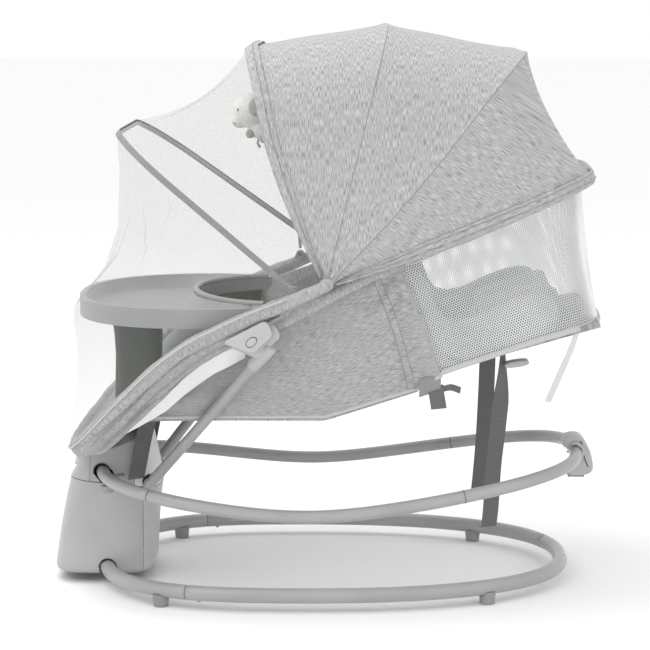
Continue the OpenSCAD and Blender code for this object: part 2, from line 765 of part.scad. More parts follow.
floor_front_tube();
floor_left_tube();
floor_right_tube();
floor_snap_pins();
floor_feet();
tower_shell();
tower_rear_cover();
tower_floor_plate();
drive_motor();
drive_gearbox();
shaft_bearing();
battery_box();
housing_screws();
swing_shaft();
head_shell();
head_front_panel();
head_rear_cover();
circuit_board();
power_button();
speed_button();
music_button();
rocker_front_tube();
rocker_left_tube();
rocker_right_tube();
rocker_rivets();
rocker_pads();
stand_clip();
rocker_stand();
left_leg();
right_leg();
left_hub();
right_hub();
left_hub_button();
right_hub_button();
seat_front_tube();
net_pivots();
seat_sling();
side_walls();
front_straps();
harness();
backrest_tube();
back_board();
head_pillow();
mesh_basket();
canopy_pivots();
left_under_strap();
right_under_strap();
rear_tape();
rear_canopy_bow();
middle_canopy_bow();
front_canopy_bow();
rear_canopy_panel();
middle_canopy_panel();
front_canopy_panel();
net_bow();
net_top();
net_drape();
tray();
tray_post();
plush_toy();
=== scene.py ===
import math

import bpy
from mathutils import Matrix, Vector


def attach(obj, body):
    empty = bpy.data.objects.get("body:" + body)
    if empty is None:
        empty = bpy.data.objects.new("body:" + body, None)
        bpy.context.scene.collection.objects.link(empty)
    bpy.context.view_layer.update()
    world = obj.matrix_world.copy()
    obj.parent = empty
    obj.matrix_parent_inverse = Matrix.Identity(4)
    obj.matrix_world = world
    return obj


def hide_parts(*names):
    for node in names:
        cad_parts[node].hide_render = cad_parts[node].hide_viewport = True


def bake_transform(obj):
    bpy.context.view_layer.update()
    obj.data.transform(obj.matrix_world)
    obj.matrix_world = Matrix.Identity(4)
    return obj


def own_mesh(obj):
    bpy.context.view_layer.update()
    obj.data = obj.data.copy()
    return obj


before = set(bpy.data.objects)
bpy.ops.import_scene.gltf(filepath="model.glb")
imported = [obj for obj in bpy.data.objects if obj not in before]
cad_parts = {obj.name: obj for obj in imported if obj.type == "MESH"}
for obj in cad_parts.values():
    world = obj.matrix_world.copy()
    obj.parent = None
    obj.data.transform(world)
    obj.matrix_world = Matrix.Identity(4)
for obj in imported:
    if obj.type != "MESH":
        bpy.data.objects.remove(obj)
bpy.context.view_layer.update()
MM = 0.001
CREASE = math.radians(40)

# ---------- camera, lights and floor ----------

bpy.ops.object.select_all(action="DESELECT")
bpy.ops.object.camera_add(
    location=(0.031, -3.3, 0.8649), rotation=(math.radians(81.63), 0, math.radians(0.545))
)
camera = bpy.context.object
camera.data.lens = 122.3
camera.data.sensor_width = 36
bpy.context.scene.camera = camera


def area_light(name, place, aim, size, power):
    bpy.ops.object.light_add(type="AREA", location=place)
    lamp = bpy.context.object
    lamp.name = name
    lamp.data.shape = "DISK"
    lamp.data.size = size
    lamp.data.energy = power
    lamp.rotation_euler = (Vector(aim) - Vector(place)).to_track_quat("-Z", "Y").to_euler()


area_light("key_softbox", (-1.6, -2.2, 2.6), (0, 0, 0.4), 1.8, 17)
area_light("fill_softbox", (2.2, -2.4, 1.4), (0.1, 0, 0.4), 2.0, 5)
area_light("top_softbox", (-0.8, 0.1, 3.1), (0, 0, 0.3), 1.8, 30)


# ---------- making ----------


def deselect():
    if bpy.context.object and bpy.context.object.mode != "OBJECT":
        bpy.ops.object.mode_set(mode="OBJECT")
    bpy.ops.object.select_all(action="DESELECT")


def edit(obj):
    deselect()
    obj.select_set(True)
    bpy.context.view_layer.objects.active = obj
    bpy.ops.object.mode_set(mode="EDIT")


def modify(obj, kind, **settings):
    deselect()
    obj.select_set(True)
    bpy.context.view_layer.objects.active = obj
    modifier = obj.modifiers.new(kind.lower(), kind)
    for key, value in settings.items():
        setattr(modifier, key, value)
    bpy.ops.object.modifier_apply(modifier=modifier.name)


def settle(obj, name, smooth_angle=CREASE):
    """Bake the object's place into its mesh, name it and shade it."""
    deselect()
    obj.select_set(True)
    bpy.context.view_layer.objects.active = obj
    bpy.ops.object.transform_apply(location=True, rotation=True, scale=True)
    bpy.ops.object.shade_smooth_by_angle(angle=smooth_angle)
    obj.name = name
    obj.data.name = name
    return obj


def face_out(obj, doubles=0.00005):
    edit(obj)
    bpy.ops.mesh.select_all(action="SELECT")
    bpy.ops.mesh.remove_doubles(threshold=doubles)
    bpy.ops.mesh.normals_make_consistent(inside=False)
    bpy.ops.object.mode_set(mode="OBJECT")


def surface(name, cols, rows, place, size=(1.0, 1.0), thick=0.0, closed=False, levels=0, offset=-1.0):
    """Grid bent into shape: place(u, v) gives a point in mm, size is the cloth's width and length in m."""
    deselect()
    bpy.ops.mesh.primitive_grid_add(x_subdivisions=cols, y_subdivisions=rows, size=2, calc_uvs=True)
    obj = bpy.context.object
    for corner in obj.data.uv_layers.active.data:
        corner.uv = (corner.uv[0] * size[0], corner.uv[1] * size[1])
    for vertex in obj.data.vertices:
        vertex.co = Vector(place((vertex.co.x + 1) / 2, (vertex.co.y + 1) / 2)) * MM
    if closed:
        face_out(obj)
    if thick:
        modify(obj, "SOLIDIFY", thickness=thick * MM, offset=offset, use_even_offset=True)
    if levels:
        modify(obj, "SUBSURF", levels=levels, render_levels=levels)
    return settle(obj, name)


def tube(name, points, radius, sides=5, cyclic=False):
    """Round rod along points, closed at its ends; radius is one number or one for each point."""
    deselect()
    bpy.ops.curve.primitive_nurbs_path_add()
    obj = bpy.context.object
    curve = obj.data
    curve.splines.clear()
    spline = curve.splines.new("POLY")
    spline.points.add(len(points) - 1)
    for k, point in enumerate(points):
        spline.points[k].co = (*(Vector(point) * MM), 1)
        spline.points[k].radius = radius[k] if isinstance(radius, list) else radius
    spline.use_cyclic_u = cyclic
    curve.twist_mode = "MINIMUM"
    curve.bevel_depth = MM
    curve.bevel_resolution = sides
    curve.use_fill_caps = not cyclic
    curve.dimensions = "3D"
    bpy.ops.object.convert(target="MESH")
    obj = bpy.context.object
    length = sum(math.dist(p, q) for p, q in zip(points, points[1:])) * MM
    girth = 2 * math.pi * (max(radius) if isinstance(radius, list) else radius) * MM
    for corner in obj.data.uv_layers.active.data if obj.data.uv_layers else ():
        corner.uv = (corner.uv[1] * girth, corner.uv[0] * length)
    return settle(obj, name)


def plate(name, outline, y0, y1, bevel=1.0, steps=3, flat="XZ"):
    """Bevelled plate: an outline in X and Z between two Y values, or in X and Y between two Z values."""
    deselect()
    bpy.ops.mesh.primitive_circle_add(vertices=len(outline), radius=1, fill_type="NGON")
    obj = bpy.context.object
    for vertex, (a, b) in zip(obj.data.vertices, outline):
        vertex.co = Vector((a, y0, b) if flat == "XZ" else (a, b, y0)) * MM
    edit(obj)
    bpy.ops.mesh.select_all(action="SELECT")
    step = (0, (y1 - y0) * MM, 0) if flat == "XZ" else (0, 0, (y1 - y0) * MM)
    bpy.ops.mesh.extrude_region_move(TRANSFORM_OT_translate={"value": step})
    bpy.ops.mesh.select_all(action="SELECT")
    bpy.ops.mesh.normals_make_consistent(inside=False)
    bpy.ops.object.mode_set(mode="OBJECT")
    if bevel:
        modify(obj, "BEVEL", width=bevel * MM, segments=steps, limit_method="ANGLE",
            angle_limit=math.radians(50))
    return settle(obj, name)


def merge(name, objs):
    deselect()
    for obj in objs:
        obj.select_set(True)
    bpy.context.view_layer.objects.active = objs[0]
    bpy.ops.object.join()
    return settle(bpy.context.object, name)


def clothe(obj, material, body=None, replaces=()):
    obj.data.materials.clear()
    obj.data.materials.append(material)
    if body:
        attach(obj, body)
    if replaces:
        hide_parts(*replaces)
    return obj


# ---------- curves ----------


def mix(a, b, t):
    return a + (b - a) * t


def lerp(p, q, t):
    return [mix(a, b, t) for a, b in zip(p, q)]


def table(pairs, x):
    """Value at x of a line through (x, value) pairs, rising in x."""
    if x <= pairs[0][0]:
        return pairs[0][1]
    for (x0, v0), (x1, v1) in zip(pairs, pairs[1:]):
        if x <= x1:
            return mix(v0, v1, (x - x0) / (x1 - x0))
    return pairs[-1][1]


def spline(points, t):
    """Point at t, 0 to 1 by length, on a smooth curve through points."""
    fine = getattr(spline, "cache", {}).get(id(points))
    if fine is None:
        fine = []
        last = len(points) - 1
        for i in range(last):
            a, b, c, d = points[max(i - 1, 0)], points[i], points[i + 1], points[min(i + 2, last)]
            for k in range(12):
                s = k / 12
                fine.append([
                    0.5 * (2 * q + (r - p) * s + (2 * p - 5 * q + 4 * r - w) * s * s
                        + (3 * q - p - 3 * r + w) * s**3)
                    for p, q, r, w in zip(a, b, c, d)
                ])
        fine.append(list(points[last]))
        runs = [0.0]
        for p, q in zip(fine, fine[1:]):
            runs.append(runs[-1] + math.dist(p, q))
        fine = (fine, runs, points)
        spline.cache = {**getattr(spline, "cache", {}), id(points): fine}
    line, runs, _ = fine
    want = max(0.0, min(1.0, t)) * runs[-1]
    low, high = 0, len(runs) - 1
    while high - low > 1:
        middle = (low + high) // 2
        if runs[middle] <= want:
            low = middle
        else:
            high = middle
    return lerp(line[low], line[high], (want - runs[low]) / max(runs[high] - runs[low], 1e-9))


def sgn_pow(value, power):
    return math.copysign(abs(value) ** power, value)


def oval(angle, middle, front, rear, half_w, n_front, n_rear):
    """Point of an oval plan: angle 0 is the head end, 90 the right side, 180 the foot end."""
    a = math.radians(angle)
    n = n_front if math.cos(a) < 0 else n_rear
    reach = front if math.cos(a) < 0 else rear
    return middle + reach * sgn_pow(math.cos(a), 2 / n), half_w * sgn_pow(math.sin(a), 2 / n)


def floor_at(angle):
    x, y = oval(angle, -30, 300, 388, 240, 2.8, 2.3)
    return [x, y, 24]


def rocker_at(angle):
    x, y = oval(angle, -40, 295, 418, 211, 3, 3)
    rise = (18.4 if x > -25 else 16) * (math.sqrt(1 + ((x + 25) / 100) ** 2) - 1)
    return [x, y, 132 + rise]


def loop_path(at, a0, a1, step=10):
    """Evenly spaced points of a loop between two angles."""
    count = 160
    raw = [at(mix(a0, a1, i / count)) for i in range(count + 1)]
    length = sum(math.dist(p, q) for p, q in zip(raw, raw[1:]))
    number = max(4, round(length / step))
    return [spline(raw, i / number) for i in range(number + 1)]


def mirrored(half):
    return half + [[p[0], -p[1], p[2]] for p in reversed(half[:-1])]


# ---------- materials ----------


def linear(hex_colour):
    parts = [int(hex_colour[i : i + 2], 16) / 255 for i in (1, 3, 5)]
    return tuple([c / 12.92 if c <= 0.04045 else ((c + 0.055) / 1.055) ** 2.4 for c in parts] + [1.0])


def node(tree, kind, settings=None, links=None):
    """Add one node: settings are its properties or socket values, links are socket to source."""
    made = tree.nodes.new(kind)
    for key, value in (settings or {}).items():
        if isinstance(key, str) and hasattr(made, key):
            setattr(made, key, value)
        else:
            made.inputs[key].default_value = value
    for key, source in (links or {}).items():
        tree.links.new(source, made.inputs[key])
    return made


def blank(name):
    material = bpy.data.materials.new(name)
    material.use_nodes = True
    material.node_tree.nodes.clear()
    return material, material.node_tree


def close(tree, shader):
    node(tree, "ShaderNodeOutputMaterial", links={"Surface": shader.outputs[0]})


def two_tone(tree, factor, low, high, span=(0.35, 0.65)):
    ramp = node(tree, "ShaderNodeValToRGB", links={"Fac": factor})
    ramp.color_ramp.elements[0].position = span[0]
    ramp.color_ramp.elements[0].color = linear(low)
    ramp.color_ramp.elements[1].position = span[1]
    ramp.color_ramp.elements[1].color = linear(high)
    return ramp.outputs["Color"]


def plastic(name, low, high, rough, grain_mm=1.2, bump=0.03, coat=0.0):
    """Moulded plastic: faint cloudiness in the colour and a fine spark-eroded grain."""
    material, tree = blank(name)
    place = node(tree, "ShaderNodeTexCoord").outputs["Object"]
    cloud = node(tree, "ShaderNodeTexNoise", {"Scale": 14.0, "Detail": 3.0}, {"Vector": place})
    grain = node(tree, "ShaderNodeTexNoise", {"Scale": 1000 / grain_mm, "Detail": 2.0}, {"Vector": place})
    raised = node(tree, "ShaderNodeBump", {"Strength": bump, "Distance": 0.0004},
        {"Height": grain.outputs["Fac"]})
    wear = node(tree, "ShaderNodeMapRange",
        {"From Min": 0.3, "From Max": 0.7, "To Min": rough - 0.05, "To Max": rough + 0.07},
        {"Value": cloud.outputs["Fac"]})
    close(tree, node(tree, "ShaderNodeBsdfPrincipled",
        {"IOR": 1.49, "Coat Weight": coat, "Coat Roughness": 0.3},
        {"Base Color": two_tone(tree, cloud.outputs["Fac"], low, high),
            "Normal": raised.outputs["Normal"],
            "Roughness": wear.outputs["Result"]}))
    return material


def cloth(name, low, high, streak=(0.9, 11.0), weave_mm=1.6, bump=0.35, seed=0.0):
    """Heathered plain weave: light and dark fibres spun into each yarn read as fine streaks along it."""
    material, tree = blank(name)
    place = node(tree, "ShaderNodeTexCoord").outputs["UV"]
    drawn = node(tree, "ShaderNodeMapping",
        {"Location": (seed, seed, 0), "Scale": (1000 / streak[0], 1000 / streak[1], 1)},
        {"Vector": place})
    fibres = node(tree, "ShaderNodeTexNoise", {"Scale": 1.0, "Detail": 2.0, "Roughness": 0.5},
        {"Vector": drawn.outputs[0]})
    patches = node(tree, "ShaderNodeTexNoise", {"Scale": 55.0, "Detail": 3.0}, {"Vector": place})
    mixed = node(tree, "ShaderNodeMath", {"operation": "MULTIPLY_ADD", 1: 0.93}, {0: fibres.outputs["Fac"]})
    share = node(tree, "ShaderNodeMath", {"operation": "MULTIPLY", 1: 0.07}, {0: patches.outputs["Fac"]})
    tree.links.new(share.outputs[0], mixed.inputs[2])
    warp = node(tree, "ShaderNodeTexWave",
        {"bands_direction": "X", "Scale": 500 / weave_mm, "Distortion": 0.6}, {"Vector": place})
    weft = node(tree, "ShaderNodeTexWave",
        {"bands_direction": "Y", "Scale": 500 / weave_mm, "Distortion": 0.6}, {"Vector": place})
    yarns = node(tree, "ShaderNodeMath", {"operation": "MAXIMUM"},
        {0: warp.outputs["Fac"], 1: weft.outputs["Fac"]})
    raised = node(tree, "ShaderNodeBump", {"Strength": bump, "Distance": 0.0005},
        {"Height": yarns.outputs[0]})
    folds = node(tree, "ShaderNodeTexNoise", {"Scale": 16.0, "Detail": 2.0}, {"Vector": place})
    soft = node(tree, "ShaderNodeBump", {"Strength": 0.22, "Distance": 0.006},
        {"Height": folds.outputs["Fac"], "Normal": raised.outputs[0]})
    close(tree, node(tree, "ShaderNodeBsdfPrincipled",
        {"Roughness": 0.92, "Sheen Weight": 0.15, "Sheen Roughness": 0.5, "Specular IOR Level": 0.2},
        {"Base Color": two_tone(tree, mixed.outputs[0], low, high, (0.30, 0.66)),
            "Normal": soft.outputs["Normal"]}))
    return material


def webbing(name, low, high, rib_mm=3.0):
    """Woven polyester strap: ribs across its width, each a row of tight picks."""
    material, tree = blank(name)
    place = node(tree, "ShaderNodeTexCoord").outputs["UV"]
    ribs = node(tree, "ShaderNodeTexWave", {"bands_direction": "Y", "Scale": 500 / rib_mm, "Distortion": 0.4},
        {"Vector": place})
    fuzz = node(tree, "ShaderNodeTexNoise", {"Scale": 900.0, "Detail": 2.0}, {"Vector": place})
    tone = node(tree, "ShaderNodeMath", {"operation": "MULTIPLY_ADD", 1: 0.5},
        {0: ribs.outputs["Fac"], 2: fuzz.outputs["Fac"]})
    raised = node(tree, "ShaderNodeBump", {"Strength": 0.6, "Distance": 0.0008},
        {"Height": ribs.outputs["Fac"]})
    close(tree, node(tree, "ShaderNodeBsdfPrincipled",
        {"Roughness": 0.85, "Sheen Weight": 0.1, "Specular IOR Level": 0.25},
        {"Base Color": two_tone(tree, tone.outputs[0], low, high, (0.4, 1.1)),
            "Normal": raised.outputs["Normal"]}))
    return material


def sheer(name, colour, open_alpha, thread_alpha, pitch_mm):
    """Knitted net: mostly holes, so what lies behind shows through with a pale veil over it."""
    material, tree = blank(name)
    place = node(tree, "ShaderNodeTexCoord").outputs["UV"]
    cells = node(tree, "ShaderNodeTexVoronoi",
        {"feature": "DISTANCE_TO_EDGE", "Scale": 1000 / pitch_mm, "Randomness": 0.15},
        {"Vector": place})
    veil = node(tree, "ShaderNodeMapRange",
        {"From Min": 0.03, "From Max": 0.16, "To Min": thread_alpha, "To Max": open_alpha},
        {"Value": cells.outputs["Distance"]})
    close(tree, node(tree, "ShaderNodeBsdfPrincipled",
        {"Base Color": linear(colour), "Roughness": 0.8, "Specular IOR Level": 0.1},
        {"Alpha": veil.outputs["Result"]}))
    return material


def pile(name, low, high, tuft_mm=2.2):
    """Short plush pile: tufts whose colour is painted lighter in the middle and darker towards the edge, a
    painted highlight and painted shade on each tuft.
    """
    material, tree = blank(name)
    place = node(tree, "ShaderNodeTexCoord").outputs["Object"]
    tufts = node(tree, "ShaderNodeTexVoronoi", {"Scale": 1000 / tuft_mm}, {"Vector": place})
    raised = node(tree, "ShaderNodeBump", {"Strength": 0.7, "Distance": 0.0012},
        {"Height": tufts.outputs["Distance"]})
    close(tree, node(tree, "ShaderNodeBsdfPrincipled",
        {"Roughness": 0.95, "Sheen Weight": 0.4, "Specular IOR Level": 0.1},
        # Painted highlight and shade: light at each tuft's middle, darker towards its edge
        {"Base Color": two_tone(tree, tufts.outputs["Distance"], high, low, (0.1, 0.8)),
            "Normal": raised.outputs["Normal"]}))
    return material


powder_coat = plastic("powder_coated_steel", "#9d9e9e", "#a4a5a5", 0.32, 1.6, 0.05, 0.2)
grey_abs = plastic("moulded_abs_grey", "#a5a5a4", "#adadac", 0.36, 1.4, 0.04, 0.1)
light_abs = plastic("moulded_abs_light", "#b0b1b0", "#b8b9b8", 0.45, 1.4, 0.05)
tray_pp = plastic("moulded_pp_tray", "#939494", "#9a9b9b", 0.36, 1.6, 0.03, 0.15)
post_pp = plastic("moulded_pp_post", "#484a47", "#4f514e", 0.6, 1.2, 0.12)
dark_abs = plastic("moulded_abs_dark", "#6f7371", "#7b7f7c", 0.5)
foot_rubber = plastic("ribbed_rubber", "#8b8d8c", "#979998", 0.75, 2.2, 0.2)
white_abs = plastic("moulded_abs_white", "#dadbd9", "#e2e3e1", 0.45)
inner_board = plastic("printed_board", "#38614a", "#437056", 0.55)
bearing_pom = plastic("turned_pom", "#cdcabd", "#d6d3c8", 0.5)
zinc_steel = plastic("zinc_plated_steel", "#9c9fa2", "#aaadb0", 0.35)
# Painted shade: near-black for seams, gaps and openings where only shade falls
gap_shade_paint = plastic("painted_gap_shade", "#2b2c2c", "#343535", 0.9)
melange = cloth("melange_canopy_cloth", "#7d7d7e", "#cbcbcc", (0.8, 11.0))
melange_dark = cloth("melange_wall_cloth", "#7a7a7b", "#c6c6c7", (11.0, 0.8), seed=0.31)
pad_cloth = cloth("melange_pad_cloth", "#767879", "#b9baba", (0.9, 8.0), seed=0.57)
inner_cloth = cloth("ribbed_inner_cloth", "#8d8f90", "#b2b4b4", (6.0, 1.2), 2.6, 0.6, seed=0.77)
lining = cloth("white_lining", "#e3e4e2", "#f0f1ef", (1.2, 3.0), bump=0.15)
seam_thread = cloth("seam_thread", "#858687", "#979899", (0.6, 3.0))
crease_grey = cloth("crease_shade", "#88898a", "#989999", (0.6, 3.0), seed=0.9)
piping_cloth = cloth("piping_cloth", "#b4b5b5", "#cacbca", (0.8, 4.0), seed=0.13)
dark_web = webbing("polyester_webbing_dark", "#5b5d5c", "#767877")
white_tape = webbing("cotton_tape_white", "#e8e8e6", "#fafaf8", 1.6)
net_yarn = plastic("white_mesh_yarn", "#e6e8e7", "#f2f3f2", 0.7, 0.8, 0.1)
net_veil = sheer("insect_net", "#b3b8b0", 0.05, 0.34, 2.6)
plush_white = pile("plush_white", "#dcdcda", "#f5f5f3")
plush_grey = pile("plush_grey_green", "#a3a89c", "#bcc0b4")
plush_pink = pile("plush_pink", "#d8a3a6", "#ecc0c2")

# ---------- floor and backdrop ----------

bpy.ops.object.select_all(action="DESELECT")
bpy.ops.mesh.primitive_plane_add(size=60, location=(0, 0, -0.0005))
floor = bpy.context.object
floor.name = "studio_floor"
floor_paint, floor_tree = blank("studio_floor_paper")
close(floor_tree,
    node(floor_tree, "ShaderNodeBsdfPrincipled",
        {"Base Color": linear("#fbfbfb"), "Roughness": 0.9, "Specular IOR Level": 0.05}))
floor.data.materials.append(floor_paint)
world = bpy.data.worlds.new("studio_air")
world.use_nodes = True
world.node_tree.nodes["Background"].inputs["Color"].default_value = (1, 1, 1, 1)
world.node_tree.nodes["Background"].inputs["Strength"].default_value = 1.0
bpy.context.scene.world = world
bpy.context.scene.view_settings.view_transform = "Standard"

# ---------- free straps ----------

left_strap_route = [[262, 356], [261, 300], [256, 240], [250, 180], [247, 120], [244, 90]]
right_strap_route = [[252, 353], [251, 300], [249, 240], [246, 180], [242, 130], [239, 100]]
tape_route = [[372, 392], [364, 366], [352, 336], [340, 308], [328, 280]]


def flat_strap(name, centre, width, thick, turn, material):
    """Flat strap along a 3-D route; turn(t) is the angle in degrees of its width from +Y towards +X."""
    length = sum(math.dist(p, q) for p, q in zip(centre, centre[1:]))

    def place(u, v):
        x, y, z = spline(centre, v)
        a = math.radians(turn(v))
        side = (u - 0.5) * width
        return x + side * math.sin(a), y + side * math.cos(a), z

    obj = surface(name, 8, max(24, round(length / 5)), place, (width * MM, length * MM), thick, offset=0)
    obj.data.materials.append(material)
    return obj, length


def hang(name, route, y, width, thick, turn, material, node_name):
    centre = [[x, y, z] for x, z in route]
    strap, length = flat_strap(name, centre, width, thick, turn, material)
    path = [tuple(c * MM for c in spline(centre, i / 23)) for i in range(24)]
    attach(strap, "backrest")
    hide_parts(node_name)
    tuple(path[0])
    return strap


hang("left_strap_web", left_strap_route, -90, 25, 1.6, lambda t: 18 + 62 * min(1, t / 0.3) ** 1.5 - 14 * t,
    dark_web, "left_under_strap")
hang("right_strap_web", right_strap_route, 90, 25, 1.6, lambda t: 80 + 8 * math.sin(4 * t), dark_web,
    "right_under_strap")
hang("rear_tape_web", tape_route, -100, 10, 1.2, lambda t: 40 + 60 * t, white_tape, "rear_tape")

# ---------- floor loop and rocker loop ----------

SEAM = 0.18
for piece, body, path, radius in (
    ("floor_front", "base", loop_path(floor_at, 116 + SEAM, 244 - SEAM), 11),
    ("floor_left", "base", loop_path(floor_at, 244 + SEAM, 377 - SEAM), 11),
    ("floor_right", "base", loop_path(floor_at, 17 + SEAM, 116 - SEAM), 11),
    ("rocker_front", "rocker", loop_path(rocker_at, 128 + SEAM, 232 - SEAM), 9.5),
    ("rocker_left", "rocker", loop_path(rocker_at, 232 + SEAM, 359.98), 9.5),
    ("rocker_right", "rocker", loop_path(rocker_at, 0.02, 128 - SEAM), 9.5),
):
    first, last = path[0], path[-1]
    path = [first, lerp(first, path[1], 0.12)] + path[1:-1] + [lerp(last, path[-2], 0.12), last]
    lip = [radius - 0.9] + [radius] * (len(path) - 2) + [radius - 0.9]
    clothe(tube(piece + "_pipe", path, lip, 7), powder_coat, body, (piece + "_tube",))

# Darker swaged ends inside each joint, and the sleeve line on the rocker loop's sides
for number, (at, angle, radius, body) in enumerate((
    (floor_at, 116, 11, "base"), (floor_at, 244, 11, "base"), (floor_at, 17, 11, "base"),
    (rocker_at, 128, 9.5, "rocker"), (rocker_at, 232, 9.5, "rocker"),
    (rocker_at, 64, 9.5, "rocker"), (rocker_at, 296, 9.5, "rocker"),
)):
    reach = 0.5
    ring = [at(angle - reach), at(angle), at(angle + reach)]
    grown = radius + 0.25 if angle in (64, 296) else radius - 0.8
    clothe(tube(f"joint_ring_{number}", [lerp(ring[1], ring[0], 0.35), ring[1], lerp(ring[1], ring[2], 0.35)],
        grown, 7),
        dark_abs, body)

# Slot-like spring button on the right side of the floor loop
x, y, z = floor_at(106)
clothe(tube("spring_button", [[x - 14, y - 10.6, z], [x + 14, y - 10.4, z]], 1.7, 4), light_abs, "base")

# ---------- drive tower and head ----------

SWING = (-318, 0, 150)
LEAN = math.radians(6)


def rounded(cx, half_x, half_y, corner, t):
    """Point at t, 0 to 1, round a rectangle with rounded corners."""
    a = 2 * math.pi * t
    n = 2 + 2.6 * (1 - corner)
    return cx + half_x * sgn_pow(math.cos(a), 2 / n), half_y * sgn_pow(math.sin(a), 2 / n)


def tower_ring(h):
    """Middle X, half length and half width of the tower at height h, 0 floor side to 1 seam."""
    return mix(-333, -316, h), mix(75, 68, h), mix(84, 76, h)


def tower_point(u, v):
    fillet = [(0.0, 9.0, 0.0), (0.03, 5.0, 0.4), (0.06, 2.2, 2.2), (0.09, 0.6, 5.0), (0.13, 0.0, 9.0)]
    inset = table([(a, b) for a, b, _ in fillet], v)
    rise = table([(a, c) for a, _, c in fillet], v)
    h = max(0.0, (v - 0.13) / 0.87)
    middle, half_x, half_y = tower_ring(h)
    x, y = rounded(middle, half_x - inset, half_y - inset, 0.12, u)
    top = SWING[2] - (x - SWING[0]) * math.tan(LEAN)
    z = 14 + rise if v < 0.13 else mix(23, top - 0.4, h)
    bulge = 3.0 * math.sin(math.pi * h)
    return x - bulge * 0.6, y, z


def cut(obj, cutter, how="DIFFERENCE"):
    modify(obj, "BOOLEAN", object=cutter, operation=how, solver="EXACT")
    bpy.data.objects.remove(cutter)


def rod(centre, axis, radius, length, sides=48):
    deselect()
    turn = Vector(axis).to_track_quat("Z", "Y").to_euler()
    bpy.ops.mesh.primitive_cylinder_add(
        vertices=sides, radius=radius * MM, depth=length * MM, location=Vector(centre) * MM, rotation=turn
    )
    bpy.ops.object.transform_apply(location=True, rotation=True, scale=True)
    return bpy.context.object


def ball(centre, radii):
    deselect()
    bpy.ops.mesh.primitive_uv_sphere_add(segments=40, ring_count=24, radius=1)
    obj = bpy.context.object
    for vertex in obj.data.vertices:
        vertex.co = Vector([c + v * r for c, v, r in zip(centre, vertex.co, radii)]) * MM
    return obj


def block(low, high):
    deselect()
    bpy.ops.mesh.primitive_cube_add(size=1, location=[(a + b) / 2 * MM for a, b in zip(low, high)])
    bpy.context.object.scale = [(b - a) * MM for a, b in zip(low, high)]
    bpy.ops.object.transform_apply(location=True, rotation=True, scale=True)
    return bpy.context.object


ARCH_X = floor_at(180)[0] + 5
REAR_X = -272


def tower_part(name, x0, x1):
    shell = surface(name, 96, 40, tower_point, closed=True, thick=3)
    cut(shell, rod((ARCH_X, 0, 24), (0, 1, 0), 13, 220))
    cut(shell, block((ARCH_X - 13, -110, 0), (ARCH_X + 13, 110, 24)))
    cut(shell, block((x0, -120, 0), (x1, 120, 200)), "INTERSECT")
    return settle(shell, name)


clothe(tower_part("tower_front_shell", -430, REAR_X - 0.3), grey_abs, "base", ("tower_shell",))
clothe(tower_part("tower_back_shell", REAR_X + 0.3, -220), light_abs, "base", ("tower_rear_cover",))

FRONT = rocker_at(180)
PANEL_X = -351
COVER_X = -284


def head_point(u, v):
    """Head shell: from the leaning seam up to a roof that falls towards the foot end."""
    h = min(1.0, v / 0.72)
    middle, half_x, half_y = mix(-316, -317, h), mix(67.6, 53, h), mix(75.6, 67, h)
    inset = 0.0 if v < 0.72 else (1 - math.cos((v - 0.72) / 0.28 * math.pi / 2)) ** 0.75
    x, y = rounded(middle, half_x, half_y, 0.12, u)
    x, y = mix(x, middle, inset), mix(y, 0, inset)
    roof = 203 + (x + 342) * 0.36
    low = SWING[2] + 0.6 - (x - SWING[0]) * math.tan(LEAN)
    edge = 10.0
    z = mix(low, roof - edge,
        h) if v < 0.72 else roof - edge + edge * math.sin((v - 0.72) / 0.28 * math.pi / 2) ** 0.8
    return x, y, z


def head_part(name, x0, x1):
    shell = surface(name, 96, 44, head_point, closed=True, thick=3)
    for dx, dz, r in ((2, 0, 11.7), (8, -6, 12.5)):
        cut(shell, rod((FRONT[0] + dx, 0, FRONT[2] + dz), (0, 1, 0), r, 220))
    cut(shell, block((x0, -120, 100), (x1, 120, 260)), "INTERSECT")
    return shell


front_panel = head_part("head_front_shell", -460, PANEL_X - 0.3)
for y in (-26, 0, 26):
    cut(front_panel, rod((-374.5, y, 176), (-0.974, 0, 0.225), 7.4, 60, 32))
clothe(settle(front_panel, "head_front_shell"), grey_abs, "rocker", ("head_front_panel",))
head_middle = head_part("head_middle_shell", PANEL_X + 0.3, COVER_X - 0.3)
for side in (-1, 1):
    cut(head_middle, rod((-296, side * 20, 210), (0, 0, 1), 5.4, 60, 32))
clothe(settle(head_middle, "head_middle_shell"), grey_abs, "rocker", ("head_shell",))
head_back = head_part("head_back_shell", COVER_X + 0.3, -200)
for side in (-1, 1):
    cut(head_back, rod((-262, side * 74, 152), (0, 1, 0), 11, 30))
clothe(settle(head_back, "head_back_shell"), white_abs, "rocker", ("head_rear_cover",))

